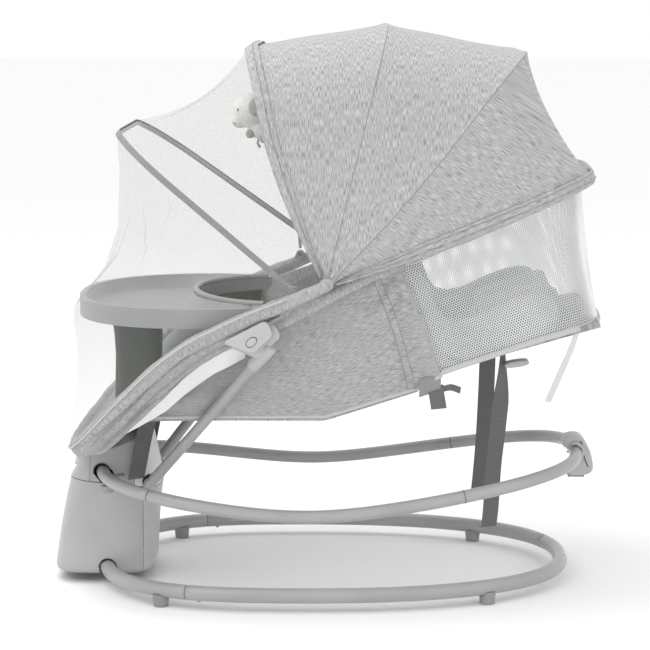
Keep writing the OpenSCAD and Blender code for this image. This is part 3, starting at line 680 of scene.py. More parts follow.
# Painted shade: a dark ring in the seam between tower and head, and dark pieces behind the openings for tubes
# and legs, stand for the shade in these gaps
seam_ring = [
    (*rounded(-316, 62, 70, 0.12, k / 64), 0) for k in range(64)
]
seam_ring = [[x, y, SWING[2] - 1.1 - (x - SWING[0]) * math.tan(LEAN)] for x, y, _ in seam_ring]
clothe(tube("seam_gap_shade", seam_ring, 1.0, 3, cyclic=True), gap_shade_paint, "base")
for side in (-1, 1):
    label = "right" if side > 0 else "left"
    clothe(settle(rod((-262, side * 66, 153.2), (0, 1, 0), 8.8, 6), f"{label}_leg_opening_shade"), gap_shade_paint,
        "rocker")
    lip = [[FRONT[0] + 2 + 12.2 * math.cos(a), side * 72.5, FRONT[2] + 12.2 * math.sin(a)]
        for a in [math.radians(-20 + 11 * k) for k in range(21)]]
    clothe(tube(f"{label}_loop_opening_shade", lip, 0.9, 3), gap_shade_paint, "rocker")
    arch = [[ARCH_X + 13.2 * math.cos(a), side * 83.6, 24 + 13.2 * math.sin(a)]
        for a in [math.radians(9 * k) for k in range(21)]]
    clothe(tube(f"{label}_arch_opening_shade", arch, 0.8, 3), gap_shade_paint, "base")
    latch = [[-316, 163], [-300, 166], [-298, 163], [-314, 158.5]]
    clothe(plate(f"{label}_head_latch", latch, side * 73.5, side * 76.2, 0.5), dark_abs, "rocker")

# ---------- legs, hubs and their buttons ----------

LEG_LOW = Vector((-262, 99, 152))
LEG_HIGH = Vector((-78, 222, 378))
along = (LEG_HIGH - LEG_LOW).normalized()
leg_route = [[-262, 76, 152], [-262, 88, 152], list(LEG_LOW + along * 2 + Vector((0, -3, 0))),
    list(LEG_LOW + along * 14), list(LEG_LOW + along * 60), list(LEG_HIGH)]
leg_line = [spline(leg_route, k / 40) for k in range(41)]
for side, name in ((1, "right_leg"), (-1, "left_leg")):
    pipe = tube(name + "_pipe", [[x, side * y, z] for x, y, z in leg_line], 8, 7)
    top = [LEG_HIGH - along * 40, LEG_HIGH - along * 38.6, LEG_HIGH, LEG_HIGH + along * 5,
        LEG_HIGH + along * 7]
    sleeve = tube(name + "_sleeve", [[p.x, side * p.y, p.z] for p in top], [9.2, 10, 10.6, 10, 7], 7)
    clothe(pipe, powder_coat, "rocker", (name,))
    clothe(sleeve, light_abs, "rocker")


def softened(corners, rounds=3):
    """Cut the corners off an outline again and again until it runs round."""
    for _ in range(rounds):
        ends = zip(corners, corners[1:] + corners[:1])
        corners = [tuple(lerp(p, q, t)) for p, q in ends for t in (0.22, 0.78)]
    return corners


def rounded_outline(corners, steps=7):
    """Outline round circles given as (x, z, radius), in order against the clock."""
    points = []
    count = len(corners)
    for k in range(count):
        x, z, r = corners[k]
        px, pz, _ = corners[k - 1]
        nx, nz, _ = corners[(k + 1) % count]
        a0 = math.atan2(z - pz, x - px) - math.pi / 2
        a1 = math.atan2(nz - z, nx - x) - math.pi / 2
        while a1 < a0:
            a1 += 2 * math.pi
        for s in range(steps + 1):
            a = mix(a0, a1, s / steps)
            points.append((x + r * math.cos(a), z + r * math.sin(a)))
    return points


HUB = (-101, 391)
hub_shape = rounded_outline([(-135, 390.5, 3.5), (-102, 386, 11), (-80, 403, 8), (-84, 411, 8.5)])
button_shape = [
    (HUB[0] + 8.2 * math.cos(a) * 0.77 - 5.4 * math.sin(a) * 0.64,
        HUB[1] + 8.2 * math.cos(a) * 0.64 + 5.4 * math.sin(a) * 0.77)
    for a in [2 * math.pi * k / 28 for k in range(28)]
]
shadow_shape = [(HUB[0] + (x - HUB[0]) * 1.12, HUB[1] + (z - HUB[1]) * 1.16) for x, z in button_shape]
back_shape = rounded_outline([(-130, 384, 4), (-96, 377, 11), (-70, 398, 8), (-74, 405, 8)])
for side, name in ((1, "right"), (-1, "left")):
    clothe(plate(name + "_hub_plate", hub_shape, side * 234, side * 247, 2.2, 4), light_abs, "rocker",
        (name + "_hub",))
    # Painted shadow: a dark plate a little larger than the button, behind it, for the shade around the button
    clothe(plate(name + "_button_painted_shadow", shadow_shape, side * 246.4, side * 247.3, 0.2, 1), gap_shade_paint, "rocker")
    clothe(plate(name + "_button_cap", button_shape, side * 243, side * 248.4, 0.9, 3), light_abs,
        name + "_hub_button",
        (name + "_hub_button",))
    clothe(plate(name + "_hub_back", back_shape, side * 214, side * 230, 2.5, 4), light_abs, "rocker")

# ---------- front tube, backrest tube and their woven sleeves ----------

front_half = [
    [-64, 236, 440], [-100, 236, 425], [-150, 236, 402], [-195, 236, 379], [-240, 236, 344], [-288, 232, 299],
    [-325, 214, 260], [-348, 182, 236], [-362, 130, 221], [-368, 60, 214], [-369, 0, 212],
]
front_loop = mirrored(front_half)
clothe(tube("front_tube_pipe", [spline(front_loop, k / 120) for k in range(121)], 8.5, 6), powder_coat,
    "rocker",
    ("seat_front_tube",))
back_half = [
    [-76, 202, 404], [-40, 202, 424], [30, 202, 463], [110, 202, 501], [200, 202, 538], [276, 199, 570],
    [336, 180, 595], [368, 138, 608], [381, 80, 614], [384, 0, 616],
]
back_loop = mirrored([[-101, 202, 391]] + back_half)
back_pipe = tube("backrest_tube_pipe", [spline(back_loop, k / 120) for k in range(121)], 9, 6)
bosses = [settle(rod((-101, side * 202, 391), (0, 1, 0), 13, 14), "boss") for side in (-1, 1)]
pins = [settle(rod((-101, side * 221, 391), (0, 1, 0), 5, 38, 24), "pin") for side in (-1, 1)]
clothe(merge("backrest_tube_pipe", [back_pipe] + bosses + pins), powder_coat, "backrest", ("backrest_tube",))


def sleeve_line(points, count):
    return [spline(points, k / count) for k in range(count + 1)]


# Woven sleeve on the front tube, from the canopy's foot round the foot end, a little uneven
sleeve_path = sleeve_line(front_loop, 150)
lumps = [10.8 + 0.8 * math.sin(k * 0.55) * math.sin(k * 0.13 + 1) for k in range(151)]
clothe(tube("front_tube_sleeve", sleeve_path, lumps, 6), melange_dark, "rocker")

# ---------- canopy ----------

CANOPY = (3, 467)
NET = (-42, 461)
CORNER = 110
BOWS = {
    "front": (108.4, 342, 220, "front_bow", "front_canopy_bow"),
    "middle": (76.3, 366, 226, "middle_bow", "middle_canopy_bow"),
    "rear": (48.5, 425, 232, "rear_bow", "rear_canopy_bow"),
    "rim": (20.9, 403, 226, "backrest", None),
    "net": (139.4, 331, 228, "net_bow", "net_bow"),
}


def outline(v, reach, half_w, start=20, corner=CORNER):
    """Point of a bow at v, 0 to 1 from the left arm's foot over the top to the right one: reach, across."""
    side = -1 if v < 0.5 else 1
    w = v if v < 0.5 else 1 - v
    if w < 0.22:
        return mix(start, reach - corner, w / 0.22), side * half_w
    if w < 0.40:
        a = (w - 0.22) / 0.18 * math.pi / 2
        return reach - corner + corner * math.sin(a), side * (half_w - corner + corner * math.cos(a))
    return reach, side * (half_w - corner) * (0.5 - w) / 0.10


def bow_angle(which, r, v):
    """Bow angle with the cloth's own lean: the arms' sides bow forward or back of the straight rod."""
    angle, reach, _, _, _ = BOWS[which]
    arm = min(1.0, abs(v - 0.5) / 0.3) ** 2
    if which == "front":
        return angle + 8.0 * (1 - r / reach) * arm
    if which == "rear":
        return angle + 2.1 * (r - 283) / 141 * arm
    if which == "rim":
        return angle - 2.6 * (1 - r / 364) * arm + 0.8 * arm
    return angle


def at_pivot(pivot, r, y, angle):
    """Point at a distance and angle from a bow's pivot; the net's springy wire bows up on its far side."""
    a = math.radians(angle)
    lift = 22 * min(1.0, r / 30) * (1 - r / 331) * min(1.0, y / 200) if pivot is NET and y > 0 else 0
    return [pivot[0] + r * math.cos(a) + lift, y, pivot[1] + r * math.sin(a) + lift]


def canopy_point(a, b, u, v, off=6.0, sag=4.0):
    """Cloth pulled straight between two bows, hollow between them and raised a little over each rod."""
    ra, ya = outline(v, BOWS[a][1] + off, BOWS[a][2] + off, 6)
    rb, yb = outline(v, BOWS[b][1] + off, BOWS[b][2] + off, 6)
    x, y, z = lerp(at_pivot(CANOPY, ra, ya, bow_angle(a, ra, v)),
        at_pivot(CANOPY, rb, yb, bow_angle(b, rb, v)), u)
    out = Vector((x - CANOPY[0], 0, z - CANOPY[1]))
    share = min(1.0, max(0.0, (out.length - 60) / 240))
    out.normalize()
    hollow = 4 * u * (1 - u)
    dip = sag * hollow * share - 2.4 * math.exp(-((min(u, 1 - u) / 0.05) ** 2))
    fall = math.cos(min(1.0, abs(v - 0.5) / 0.28) * math.pi / 2)
    ripple = 1.5 * math.sin(u * 9 + v * 23) * math.sin(v * 11 + 1.0) * hollow
    crease = 1.2 * math.sin(z * 0.33 + 2.2 * math.sin(x * 0.02)) * max(0.0,
        1 - ((z - 640) / 90) ** 2) * hollow
    r = dip * (0.35 + 0.65 * fall) + ripple * 0.6
    y -= math.copysign(1, y) * (dip * 0.45 + ripple + crease) * (1 - fall)
    return x - out.x * r, y, z - out.z * r


def lay_streaks(obj, angle):
    """Lay the weave so that its streaks fall at one angle on both sides and run across the top."""
    c, s = math.cos(math.radians(angle)), math.sin(math.radians(angle))
    mesh = obj.data
    top = 0.8 * s
    for loop, corner in zip(mesh.loops, mesh.uv_layers.active.data):
        x, y, z = mesh.vertices[loop.vertex_index].co
        along = x * c - z * s
        corner.uv = (x * s + z * c, (y - along) if y < 0 else (y + along + 2 * top))


# The last two of each row are the cut: widest by longest, in metres, and its area. They are worked out
# from the two rods alone, as straight strips from one to the other, and not from the finished cloth.
CANOPY_SHEETS = (
    ("front", "middle", 0.0, "front_canopy_panel", "middle_bow", (0.075, 0, 0.60), (-0.075, 0, 0.60), 0.205,
        (0.197, 1.05), 0.135),
    ("middle", "rear", 1.0, "middle_canopy_panel", "rear_bow", (0.21, 0, 0.60), (0.03, 0, 0.67), 0.19,
        (0.199, 1.18), 0.145),
    ("rear", "rim", 15.0, "rear_canopy_panel", "backrest", (0.27, 0, 0.56), (0.17, 0, 0.68), 0.21,
        (0.199, 1.18), 0.151),
)
for a, b, sag, cad, host, start, end, width, flat_size, flat_area in CANOPY_SHEETS:
    sheet = surface(cad.replace("_panel", "_cloth"), 26, 120,
        lambda u, v: canopy_point(a, b, u, v, sag=sag), (width, 1.08), 1.4)
    lay_streaks(sheet, 32 if b == "rim" else 90)
    clothe(sheet, melange, None, (cad,))
    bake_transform(sheet)

for which in ("front", "middle", "rear"):
    angle, reach, half_w, body, cad = BOWS[which]
    rod_line = [at_pivot(CANOPY, *outline(k / 90, reach, half_w, 7), angle) for k in range(91)]
    bow = tube(which + "_bow_rod", rod_line, 2.5, 4)
    eyes = [settle(rod((CANOPY[0], side * half_w, CANOPY[1]), (0, 1, 0), 7, 4.6, 32), "eye")
        for side in (-1, 1)]
    bow = merge(which + "_bow_rod", [bow] + eyes)
    clothe(bow, dark_abs, body, (cad,))
    seam = []
    for k in range(141):
        r, y = outline(k / 140, reach + 7.2, half_w + 6.6, 18)
        seam.append(at_pivot(CANOPY, r, y, bow_angle(which, r, k / 140)))
    if which != "front":
        clothe(tube(which + "_bow_seam", seam, 0.75, 2), seam_thread, body)

# Double-stitched front hem with the front bow inside it, and the piped hem along the backrest
for which, body, turns, name in (("front", "front_bow", (0.9, -2.1), "front_hem"),
    ("rim", "backrest", (-0.9, 1.9), "rear_hem")):
    angle, reach, half_w, _, _ = BOWS[which]

    def hem_place(u, v, grow=7.4):
        r, y = outline(v, reach + grow, half_w + grow, 16)
        edge = bow_angle(which, r, v)
        bow_round = 2.6 * math.sin(math.pi * u) ** 0.7
        span = mix(turns[0], turns[1], u) * 340 / max(r, 150)
        fall = math.cos(min(1.0, abs(v - 0.5) / 0.28) * math.pi / 2)
        return at_pivot(CANOPY, r + bow_round * (0.3 + 0.7 * fall),
            y + math.copysign(1, y) * bow_round * (1 - fall), edge + span)

    clothe(surface(name, 8, 160, hem_place, (0.018, 1.08), 1.2, offset=0), melange, body)
    for s, row in enumerate((0.6,) if which == "front" else (0.24, 0.78)):
        line = [hem_place(row, k / 160, 9.0) for k in range(161)]
        clothe(tube(f"{name}_stitch_{s}", line, 0.45, 2), seam_thread, body)
    edge_line = [hem_place(0.0, k / 160, 6.2) for k in range(161)]
    clothe(tube(f"{name}_binding", edge_line, 2.3, 4), melange, body)

# ---------- net bow and insect net ----------

NET_ANGLE, NET_REACH, NET_HALF_W = BOWS["net"][:3]
CANOPY_FRONT_REACH, CANOPY_FRONT_HALF_W = BOWS["front"][1:3]
NET_OFF = 6  # net cloth outside its rod
net_rod = tube("net_bow_rod",
    [at_pivot(NET, *outline(k / 90, NET_REACH, NET_HALF_W, 7), NET_ANGLE) for k in range(91)],
    2.6, 4)
eyes = [settle(rod((NET[0], side * NET_HALF_W, NET[1]), (0, 1, 0), 7, 4.6, 32), "eye") for side in (-1, 1)]
clothe(merge("net_bow_rod", [net_rod] + eyes), grey_abs, "net_bow", ("net_bow",))


def net_binding(u, v):
    """Flat grey tape that holds the net on its bow."""
    r, y = outline(v, NET_REACH + 4, NET_HALF_W + 4, 10)
    return at_pivot(NET, r, y, NET_ANGLE + (u - 0.5) * 9 / max(r, 40) * 57.3)


clothe(surface("net_bow_tape", 4, 120, net_binding, (0.01, 1.0), 0.9, offset=0), seam_thread, "net_bow")


def net_top_point(u, v):
    rf, yf = outline(v, CANOPY_FRONT_REACH + 7, CANOPY_FRONT_HALF_W + 9, 24)
    front = at_pivot(CANOPY, rf, yf, bow_angle("front", rf, v) + 0.3)
    rn, yn = outline(v, NET_REACH + NET_OFF, NET_HALF_W + NET_OFF, 10)
    rear = at_pivot(NET, rn, yn, NET_ANGLE)
    p = lerp(front, rear, u)
    hollow = 4 * u * (1 - u)
    fall = math.cos(min(1.0, abs(v - 0.5) / 0.3) * math.pi / 2)
    p[2] -= 24 * hollow * fall
    p[0] += 16 * hollow * fall
    p[1] -= math.copysign(1, p[1]) * 6 * hollow * (1 - fall)
    return p


net_roof = surface("net_roof_sheet", 16, 110, net_top_point, (0.2, 1.0))
clothe(net_roof, net_veil, "net_bow", ("net_top",))
# Cut from the front canopy rod to the net rod, as straight strips.
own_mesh(net_roof)

# Height of the net's middle profile against how far it stands out from the straight line between bow and hem
NET_PROFILE = [(0.0, 0), (0.12, -14), (0.3, -26), (0.42, -16), (0.5, 8), (0.535, 24), (0.60, 19), (0.68, 8),
    (0.8, 2), (0.92, 1), (1.0, 0)]
net_hem = mirrored([
    [-52, 250, 452], [-100, 252, 434], [-150, 252, 411], [-195, 252, 388], [-240, 251, 354], [-290, 246, 306],
    [-330, 226, 262], [-358, 190, 232], [-374, 134, 216], [-381, 60, 208], [-382, 0, 206],
])


def net_point(u, v):
    r, y = outline(v, NET_REACH + NET_OFF, NET_HALF_W + NET_OFF, 10)
    top = at_pivot(NET, r, y, NET_ANGLE)
    low = spline(net_hem, 1 - v)
    p = lerp(top, low, u)
    out = Vector((-1, 0)) if abs(p[1]) < 1 else Vector((min(0.0, p[0] + 150) / 150, p[1] / 230))
    out.normalize()
    stand = table(NET_PROFILE, u) * (1 if out.x < -0.6 else max(0.12, -out.x))
    folds = 2.2 * math.sin(v * 70) * math.sin(math.pi * u) ** 2
    return [p[0] + out.x * (stand + folds), p[1] + out.y * (stand + folds), p[2]]


net_skirt = surface("net_skirt_sheet", 40, 150, lambda u, v: net_point(u, v), (0.48, 1.1))
clothe(net_skirt, net_veil, None, ("net_drape",))
# Cut from the net rod to the hem, as straight strips, with a twentieth more for the fullness of its folds.
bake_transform(net_skirt)
net_edge = [spline(net_hem, k / 150) for k in range(151)]
clothe(tube("net_hem_elastic", net_edge, 1.2, 3), piping_cloth, "rocker")

# ---------- pivots and the cloth that covers them ----------

for side, label in ((-1, "left"), (1, "right")):
    for name, shape, y0, y1, body, cad in (
        ("canopy", [(-9, 452), (14, 459), (14, 470), (3, 477), (-8, 470)], 211.3, 215.3, "backrest",
            "canopy_pivots"),
        ("net", [(-52, 446), (-50, 460), (-42, 467), (-36, 464), (-36, 450)], 231, 240, "rocker",
            "net_pivots"),
    ):
        pivot_plate = plate(f"{label}_{name}_pivot_plate", shape, side * y0, side * y1, 1.0, 3)
        centre = CANOPY if name == "canopy" else NET
        pin = settle(rod((centre[0], side * (y1 - 2 if name == "canopy" else 229), centre[1]), (0, 1, 0), 4,
            8, 32), "pin")
        pair = clothe(merge(f"{label}_{name}_pivot_plate", [pivot_plate, pin]), dark_abs, body)
        if side < 0:
            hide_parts(cad)
    over = [[-70, side * 237, 437], [-48, side * 238, 447], [-24, side * 239, 457], [6, side * 239, 470]]
    sizes = [10.5 - 2.5 * k / 40 for k in range(41)]
    clothe(tube(label + "_upper_sleeve", [spline(over, k / 40) for k in range(41)], sizes, 6), melange_dark,
        "rocker")
    cover = ball((CANOPY[0] + 1, side * 238, CANOPY[1] + 4), (10, 5, 9))
    clothe(settle(cover, label + "_canopy_corner"), melange, "backrest")

# ---------- tray and post ----------

LOW = 404


def tray_shape(grow):
    points = []
    for k in range(41):
        a = 90 + 180 * k / 40
        x, y = oval(a, -170, 197, 0.001, 211, 2.4, 2)
        points.append((x + grow * math.cos(math.radians(a)), y + grow * math.sin(math.radians(a))))
    arms = [(-140, -206), (-110, -200), (-92, -193), (-85, -186), (-84, -178), (-85, -170), (-92, -160)]
    return points, arms


outer, arm = tray_shape(0)
belly = [(-70 + 120 * math.cos(math.radians(a)), 158 * math.sin(math.radians(a))) for a in range(270, 89, -8)]
shape = outer + arm + [(-86, -158.5)] + belly[2:-2] + [(-86, 158.5)] + [(x, -y) for x, y in reversed(arm)]
deselect()
bpy.ops.mesh.primitive_circle_add(vertices=len(shape), radius=1, fill_type="NGON")
tray = bpy.context.object
for vertex, (x, y) in zip(tray.data.vertices, shape):
    vertex.co = Vector((x, y, LOW)) * MM
edit(tray)
bpy.ops.mesh.select_all(action="SELECT")
bpy.ops.mesh.extrude_region_move(TRANSFORM_OT_translate={"value": (0, 0, 28 * MM)})
bpy.ops.mesh.inset(thickness=9 * MM, use_even_offset=True)
bpy.ops.mesh.inset(thickness=12 * MM, depth=-17 * MM, use_even_offset=False)
bpy.ops.mesh.inset(thickness=5 * MM, depth=-2 * MM, use_even_offset=False)
bpy.ops.mesh.select_all(action="SELECT")
bpy.ops.mesh.normals_make_consistent(inside=False)
bpy.ops.object.mode_set(mode="OBJECT")
modify(tray, "BEVEL", width=4.2 * MM, segments=4, limit_method="ANGLE", angle_limit=math.radians(40))
clothe(settle(tray, "tray_shell"), tray_pp, "tray", ("tray",))
lip_line = [[x, y, LOW + 29.0 + 3.0 * math.cos(math.radians(a) ) ** 2] for (x, y), a in
    zip([(-70 + 124 * math.cos(math.radians(a)), 161.5 * math.sin(math.radians(a)))
        for a in range(262, 97, -3)], range(262, 97, -3))]
clothe(tube("tray_belly_lip", lip_line, 4.6, 4), tray_pp, "tray")


def post_point(u, v):
    z = mix(240, 403.4, v)
    t = (z - 240) / 164
    front = table([(0, -318), (0.3, -317.5), (0.6, -316), (0.8, -318), (0.95, -322), (1.0, -325)], t)
    rear = table([(0, -250), (0.5, -248), (0.85, -246.5), (1.0, -243)], t)
    x, y = rounded((front + rear) / 2, (rear - front) / 2, mix(30, 36, t), 0.25, u)
    return x, y, z


post = surface("tray_post_body", 64, 24, post_point, closed=True)
edit(post)
bpy.ops.mesh.select_all(action="DESELECT")
bpy.ops.mesh.select_non_manifold()
bpy.ops.mesh.edge_face_add()
bpy.ops.mesh.select_all(action="SELECT")
bpy.ops.mesh.normals_make_consistent(inside=False)
bpy.ops.object.mode_set(mode="OBJECT")
modify(post, "BEVEL", width=2 * MM, segments=3, limit_method="ANGLE", angle_limit=math.radians(50))
pegs = [settle(rod((-296, side * 20, 223), (0, 0, 1), 5, 42, 32), "peg") for side in (-1, 1)]
clothe(merge("tray_post_body", [settle(post, "tray_post_body")] + pegs), post_pp, "tray", ("tray_post",))

# ---------- seat: pad between the side tubes, outer walls, lining ----------

RAIL_Z = [(-372, 214), (-350, 236), (-325, 262), (-288, 299), (-240, 344), (-195, 379), (-150, 402),
    (-100, 425), (-64, 440), (0, 463), (60, 484)]
FLOOR_Z = [(-372, 212), (-345, 226), (-300, 262), (-270, 280), (-244, 290), (0, 292), (60, 309), (134, 331)]
HALF_W = [(-372, 60), (-366, 96), (-350, 168), (-330, 202), (-300, 216), (-262, 221), (-200, 212),
    (-150, 194),
    (-110, 176), (-60, 166), (60, 166)]


def pad_point(u, v):
    """Inside of the seat: from tube to tube across, from the foot end to the back along."""
    x = mix(-372, 60, v)
    half = table(HALF_W, x)
    y = mix(-half, half, u)
    side = abs(2 * u - 1)
    low, high = table(FLOOR_Z, x), table(RAIL_Z, x) - 8
    if x > 0:
        high = mix(high, low + 60, min(1, x / 60))
    shape = min(1.0, side / 0.97) ** 3.2
    channel = 2.2 * abs(math.sin(side * 9.5)) + 1.2 * math.sin(x * 0.045)
    z = mix(low, max(high, low), shape) + channel * (1 - shape * 0.6)
    return x, y, z


seat_pad = surface("seat_pad_quilt", 64, 84, pad_point, (0.56, 0.5), 6, offset=-1)
cut(seat_pad, block((-330, -40, 200), (-238, 40, 420)))
clothe(seat_pad, inner_cloth, "rocker")


def roll(name, half, radius, material, body="rocker", seed=0.0):
    """Soft padded roll along half a loop and its mirror half, thickness uneven like stuffed cloth."""
    line = mirrored(half)
    points = sleeve_line(line, 150)
    sizes = [radius(k / 150) * (1 + 0.07 * math.sin(k * 0.61 + seed) * math.sin(k * 0.23))
        for k in range(151)]
    return clothe(tube(name, points, sizes, 7), material, body)


roll("rail_pad_upper", [
    [-112, 230, 404], [-150, 231, 388], [-190, 231, 364], [-230, 230, 332], [-262, 227, 304],
    [-296, 220, 270],
    [-326, 206, 242], [-347, 172, 226], [-358, 120, 217], [-363, 60, 213], [-364, 0, 212],
    ], lambda t: 8.5 + 7.5 * math.sin(math.pi * t) ** 2, pad_cloth)
LOWER_HALF = [
    [-126, 226, 388], [-160, 226, 371], [-196, 226, 346], [-230, 224, 315], [-262, 218, 285],
    [-292, 208, 258],
    [-318, 190, 234], [-336, 160, 224], [-348, 110, 216], [-352, 60, 212], [-353, 0, 211],
]
LOWER_ROLL = mirrored(LOWER_HALF)
roll("rail_pad_lower", LOWER_HALF, lambda t: 6.5 + 9 * math.sin(math.pi * t) ** 2, pad_cloth, seed=1.7)

for number, slot_line in enumerate((
    [[-191, 194, 374], [-186, 193, 383], [-176, 191, 391], [-160, 187, 396]],
    [[-166, 184, 379], [-160, 183, 387], [-150, 181, 393], [-138, 177, 397]],
)):
    sizes = [0.6 + 2.6 * math.sin(math.pi * k / 20) for k in range(21)]
    belt_slot = tube(f"belt_slot_{number}", [spline(slot_line, k / 20) for k in range(21)], sizes, 3)
    clothe(belt_slot, lining, "rocker")

for number, (far, line) in enumerate((
    (239, [(-143, 400), (-188, 375), (-230, 341), (-266, 301), (-302, 267), (-331, 238)]),
    (231, [(-124, 387), (-153, 374), (-182, 357), (-209, 326), (-246, 298), (-278, 266), (-318, 230)]),
)):
    for side in (-1, 1):
        seam = [(x, side * (far - 0.0011 * max(0, -230 - x) ** 2), z) for x, z in line]
        seam = tube(f"rail_pad_seam_{number}_{side + 1}", [spline(seam, k / 60) for k in range(61)], 1.1, 3)
        clothe(seam, seam_thread, "rocker")

LINING_TOP = [(-300, 246), (-262, 280), (-230, 310), (-196, 340), (-160, 366), (-118, 386)]
LINING_LOW = [(-300, 236), (-284, 249), (-249, 268), (-228, 281), (-199, 307), (-156, 338), (-111, 361)]


def lining_point(side):
    def place(u, v):
        x = mix(-292, -112, v)
        z = mix(table(LINING_TOP, x), table(LINING_LOW, x), u)
        y = mix(219, 196, u) - 14 * (1 - v) + 3 * math.sin(v * 17) * u
        return x, side * y, z

    return place


WALL_LOW = [(-262, 264), (-250, 266), (-150, 267), (0, 267), (60, 286), (137, 311), (168, 333)]
WALL_TOP = [(-262, 268), (-228, 281), (-199, 307), (-156, 338), (-111, 365), (-56, 402), (0, 438), (65, 474),
    (105, 492)]


def wall_x(u, v):
    """Front edge leans to the foot end; the rear edge slopes from the hem's corner up to the backrest."""
    return mix(mix(-250, -262, v), mix(168, 109, v) + 5 * math.sin(math.pi * v), u)


def wall_point(side):
    def place(u, v):
        x = wall_x(u, v)
        z = mix(table(WALL_LOW, min(x, 168)), table(WALL_TOP, min(x, 105) if x < 105 else 105), v)
        pull = 5.0 * math.sin(math.pi * v) * math.sin(math.pi * u)
        pucker = 2.8 * math.sin(v * 34 + 2.6 * math.sin(u * 31)) * max(0.0, 1 - abs(u - 0.93) / 0.13)
        wave = 1.6 * math.sin(u * 21 + v * 5) * (1 - v)
        fold = 3.2 * math.sin((x * 0.6 + z * 1.7) * 0.05
            + 1.2) * math.sin(math.pi * v) * math.sin(math.pi * u) ** 0.5
        y = 152 + (z - 272) * 0.176 + fold + pull + pucker + wave + (17 * (1 - v) + 2) * max(0.0,
            u - 0.9) * 10
        return x, side * y, z

    return place


def wall_line(side, v, lift=0.0):
    place = wall_point(side)
    points = [place(k / 90, v) for k in range(91)]
    return [[x, y + side * lift, z] for x, y, z in points]


for side, label in ((-1, "left"), (1, "right")):
    wall = surface(label + "_wall_cloth", 120, 64, wall_point(side), (0.44, 0.2), 1.6, offset=0)
    clothe(wall, melange_dark, None)
    clothe(surface(label + "_lining_sheet", 12, 50, lining_point(side), (0.04, 0.24), 1.0, offset=0), lining,
        "rocker")
    hem = clothe(tube(label + "_wall_hem", wall_line(side, 0.0), 2.6, 4), piping_cloth)
    top = clothe(tube(label + "_wall_piping", wall_line(side, 1.0), 2.2, 4), seam_thread)
    seams = []
    for number, across in enumerate((0.889, 0.914)):
        gusset = [wall_point(side)(across, k / 60) for k in range(61)]
        gusset = [[x, y + side * 0.9, z] for x, y, z in gusset]
        seams.append(clothe(tube(f"{label}_gusset_seam_{number}", gusset, 0.6, 3), seam_thread))
    for piece in [wall, hem, top] + seams:
        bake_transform(piece)
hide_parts("side_walls")


def crease(line, width):
    """Thin dark line over a fold in cloth, painted shade for the fold's crease, fading out at both ends."""
    sizes = [0.12 + width * math.sin(math.pi * k / 16) for k in range(17)]
    return tube("crease", [spline(line, k / 16) for k in range(17)], sizes, 2)


# Painted shade: dark lines over the wall's gathers and the lower rail roll's folds, for the shade in their
# creases
for side, label in ((-1, "left"), (1, "right")):
    place = wall_point(side)
    folds = []
    for k in range(17):
        v0 = 0.05 + 0.054 * k
        swing = 0.03 * math.sin(k * 2.7)
        u0, u1 = (0.918 + 0.012 * math.sin(k * 1.9), 0.985 - 0.02 * math.sin(k) ** 2) if k % 3 else (0.882,
            0.80 + 0.03 * math.sin(k))
        line = [place(mix(u0, u1, t), min(0.97, max(0.03, v0 + swing * t + 0.012 * math.sin(6 * t + k))))
            for t in (0, 0.3, 0.6, 1)]
        folds.append(crease([[x, y + side * 0.75, z] for x, y, z in line], 0.42))
    gather_shade = clothe(merge(label + "_wall_gather_shade", folds), crease_grey)
    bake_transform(gather_shade)
    folds = []
    for k, (t0, t1, up) in enumerate(((0.06, 0.2, 12), (0.14, 0.3, -18), (0.2, 0.42, 20), (0.29, 0.46, -10),
        (0.1, 0.26, 40), (0.33, 0.48, 35))):
        line = []
        for t in (0, 0.35, 0.7, 1):
            at = mix(t0, t1, t)
            x, y, z = spline(LOWER_ROLL, at if side < 0 else 1 - at)
            r = 6.7 + 9 * math.sin(math.pi * at) ** 2
            a = math.radians(up + 22 * math.sin(3 * t + k))
            line.append([x - 0.6 * r * math.cos(a) * max(0, -0.004 * (x + 290)),
                y + side * r * math.cos(a) * 1.02, z + r * math.sin(a) * 1.02])
        folds.append(crease(line, 0.6))
    clothe(merge(label + "_rail_fold_shade", folds), crease_grey, "rocker")


def under_point(u, v):
    x = mix(-256, 134, v)
    z = table(WALL_LOW, x) - 1 - 3 * math.sin(math.pi * u) * (1 - v)
    y = mix(-151, 151, u)
    return x, y, z


under = surface("seat_base_cloth", 24, 60, under_point, (0.3, 0.4), 5, offset=1)
clothe(under, melange_dark, None, ("seat_sling",))
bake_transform(under)

# ---------- mesh basket on the backrest ----------

BASKET_LOW = mirrored([
    [168, 178, 337], [205, 180, 350], [249, 181, 365], [305, 181, 384], [345, 176, 395], [378, 158, 402],
    [396, 120, 405],
    [402, 60, 406], [403, 0, 406],
])
BASKET_TOP = mirrored([
    [108, 190, 494], [150, 190, 510], [200, 190, 530], [262, 188, 556], [318, 172, 580], [352, 140, 594],
    [369, 96, 602],
    [376, 50, 606], [378, 0, 607],
])


def basket_point(u, v):
    p = lerp(spline(BASKET_LOW, u), spline(BASKET_TOP, u), v)
    pull = 5 * math.sin(math.pi * v)
    middle = Vector((230, 0))
    out = Vector((p[0], p[1])) - middle
    out.normalize()
    slack = 2.0 * math.sin(u * 43) * math.sin(math.pi * v)
    return [p[0] - out.x * (pull + slack), p[1] - out.y * (pull + slack), p[2]]


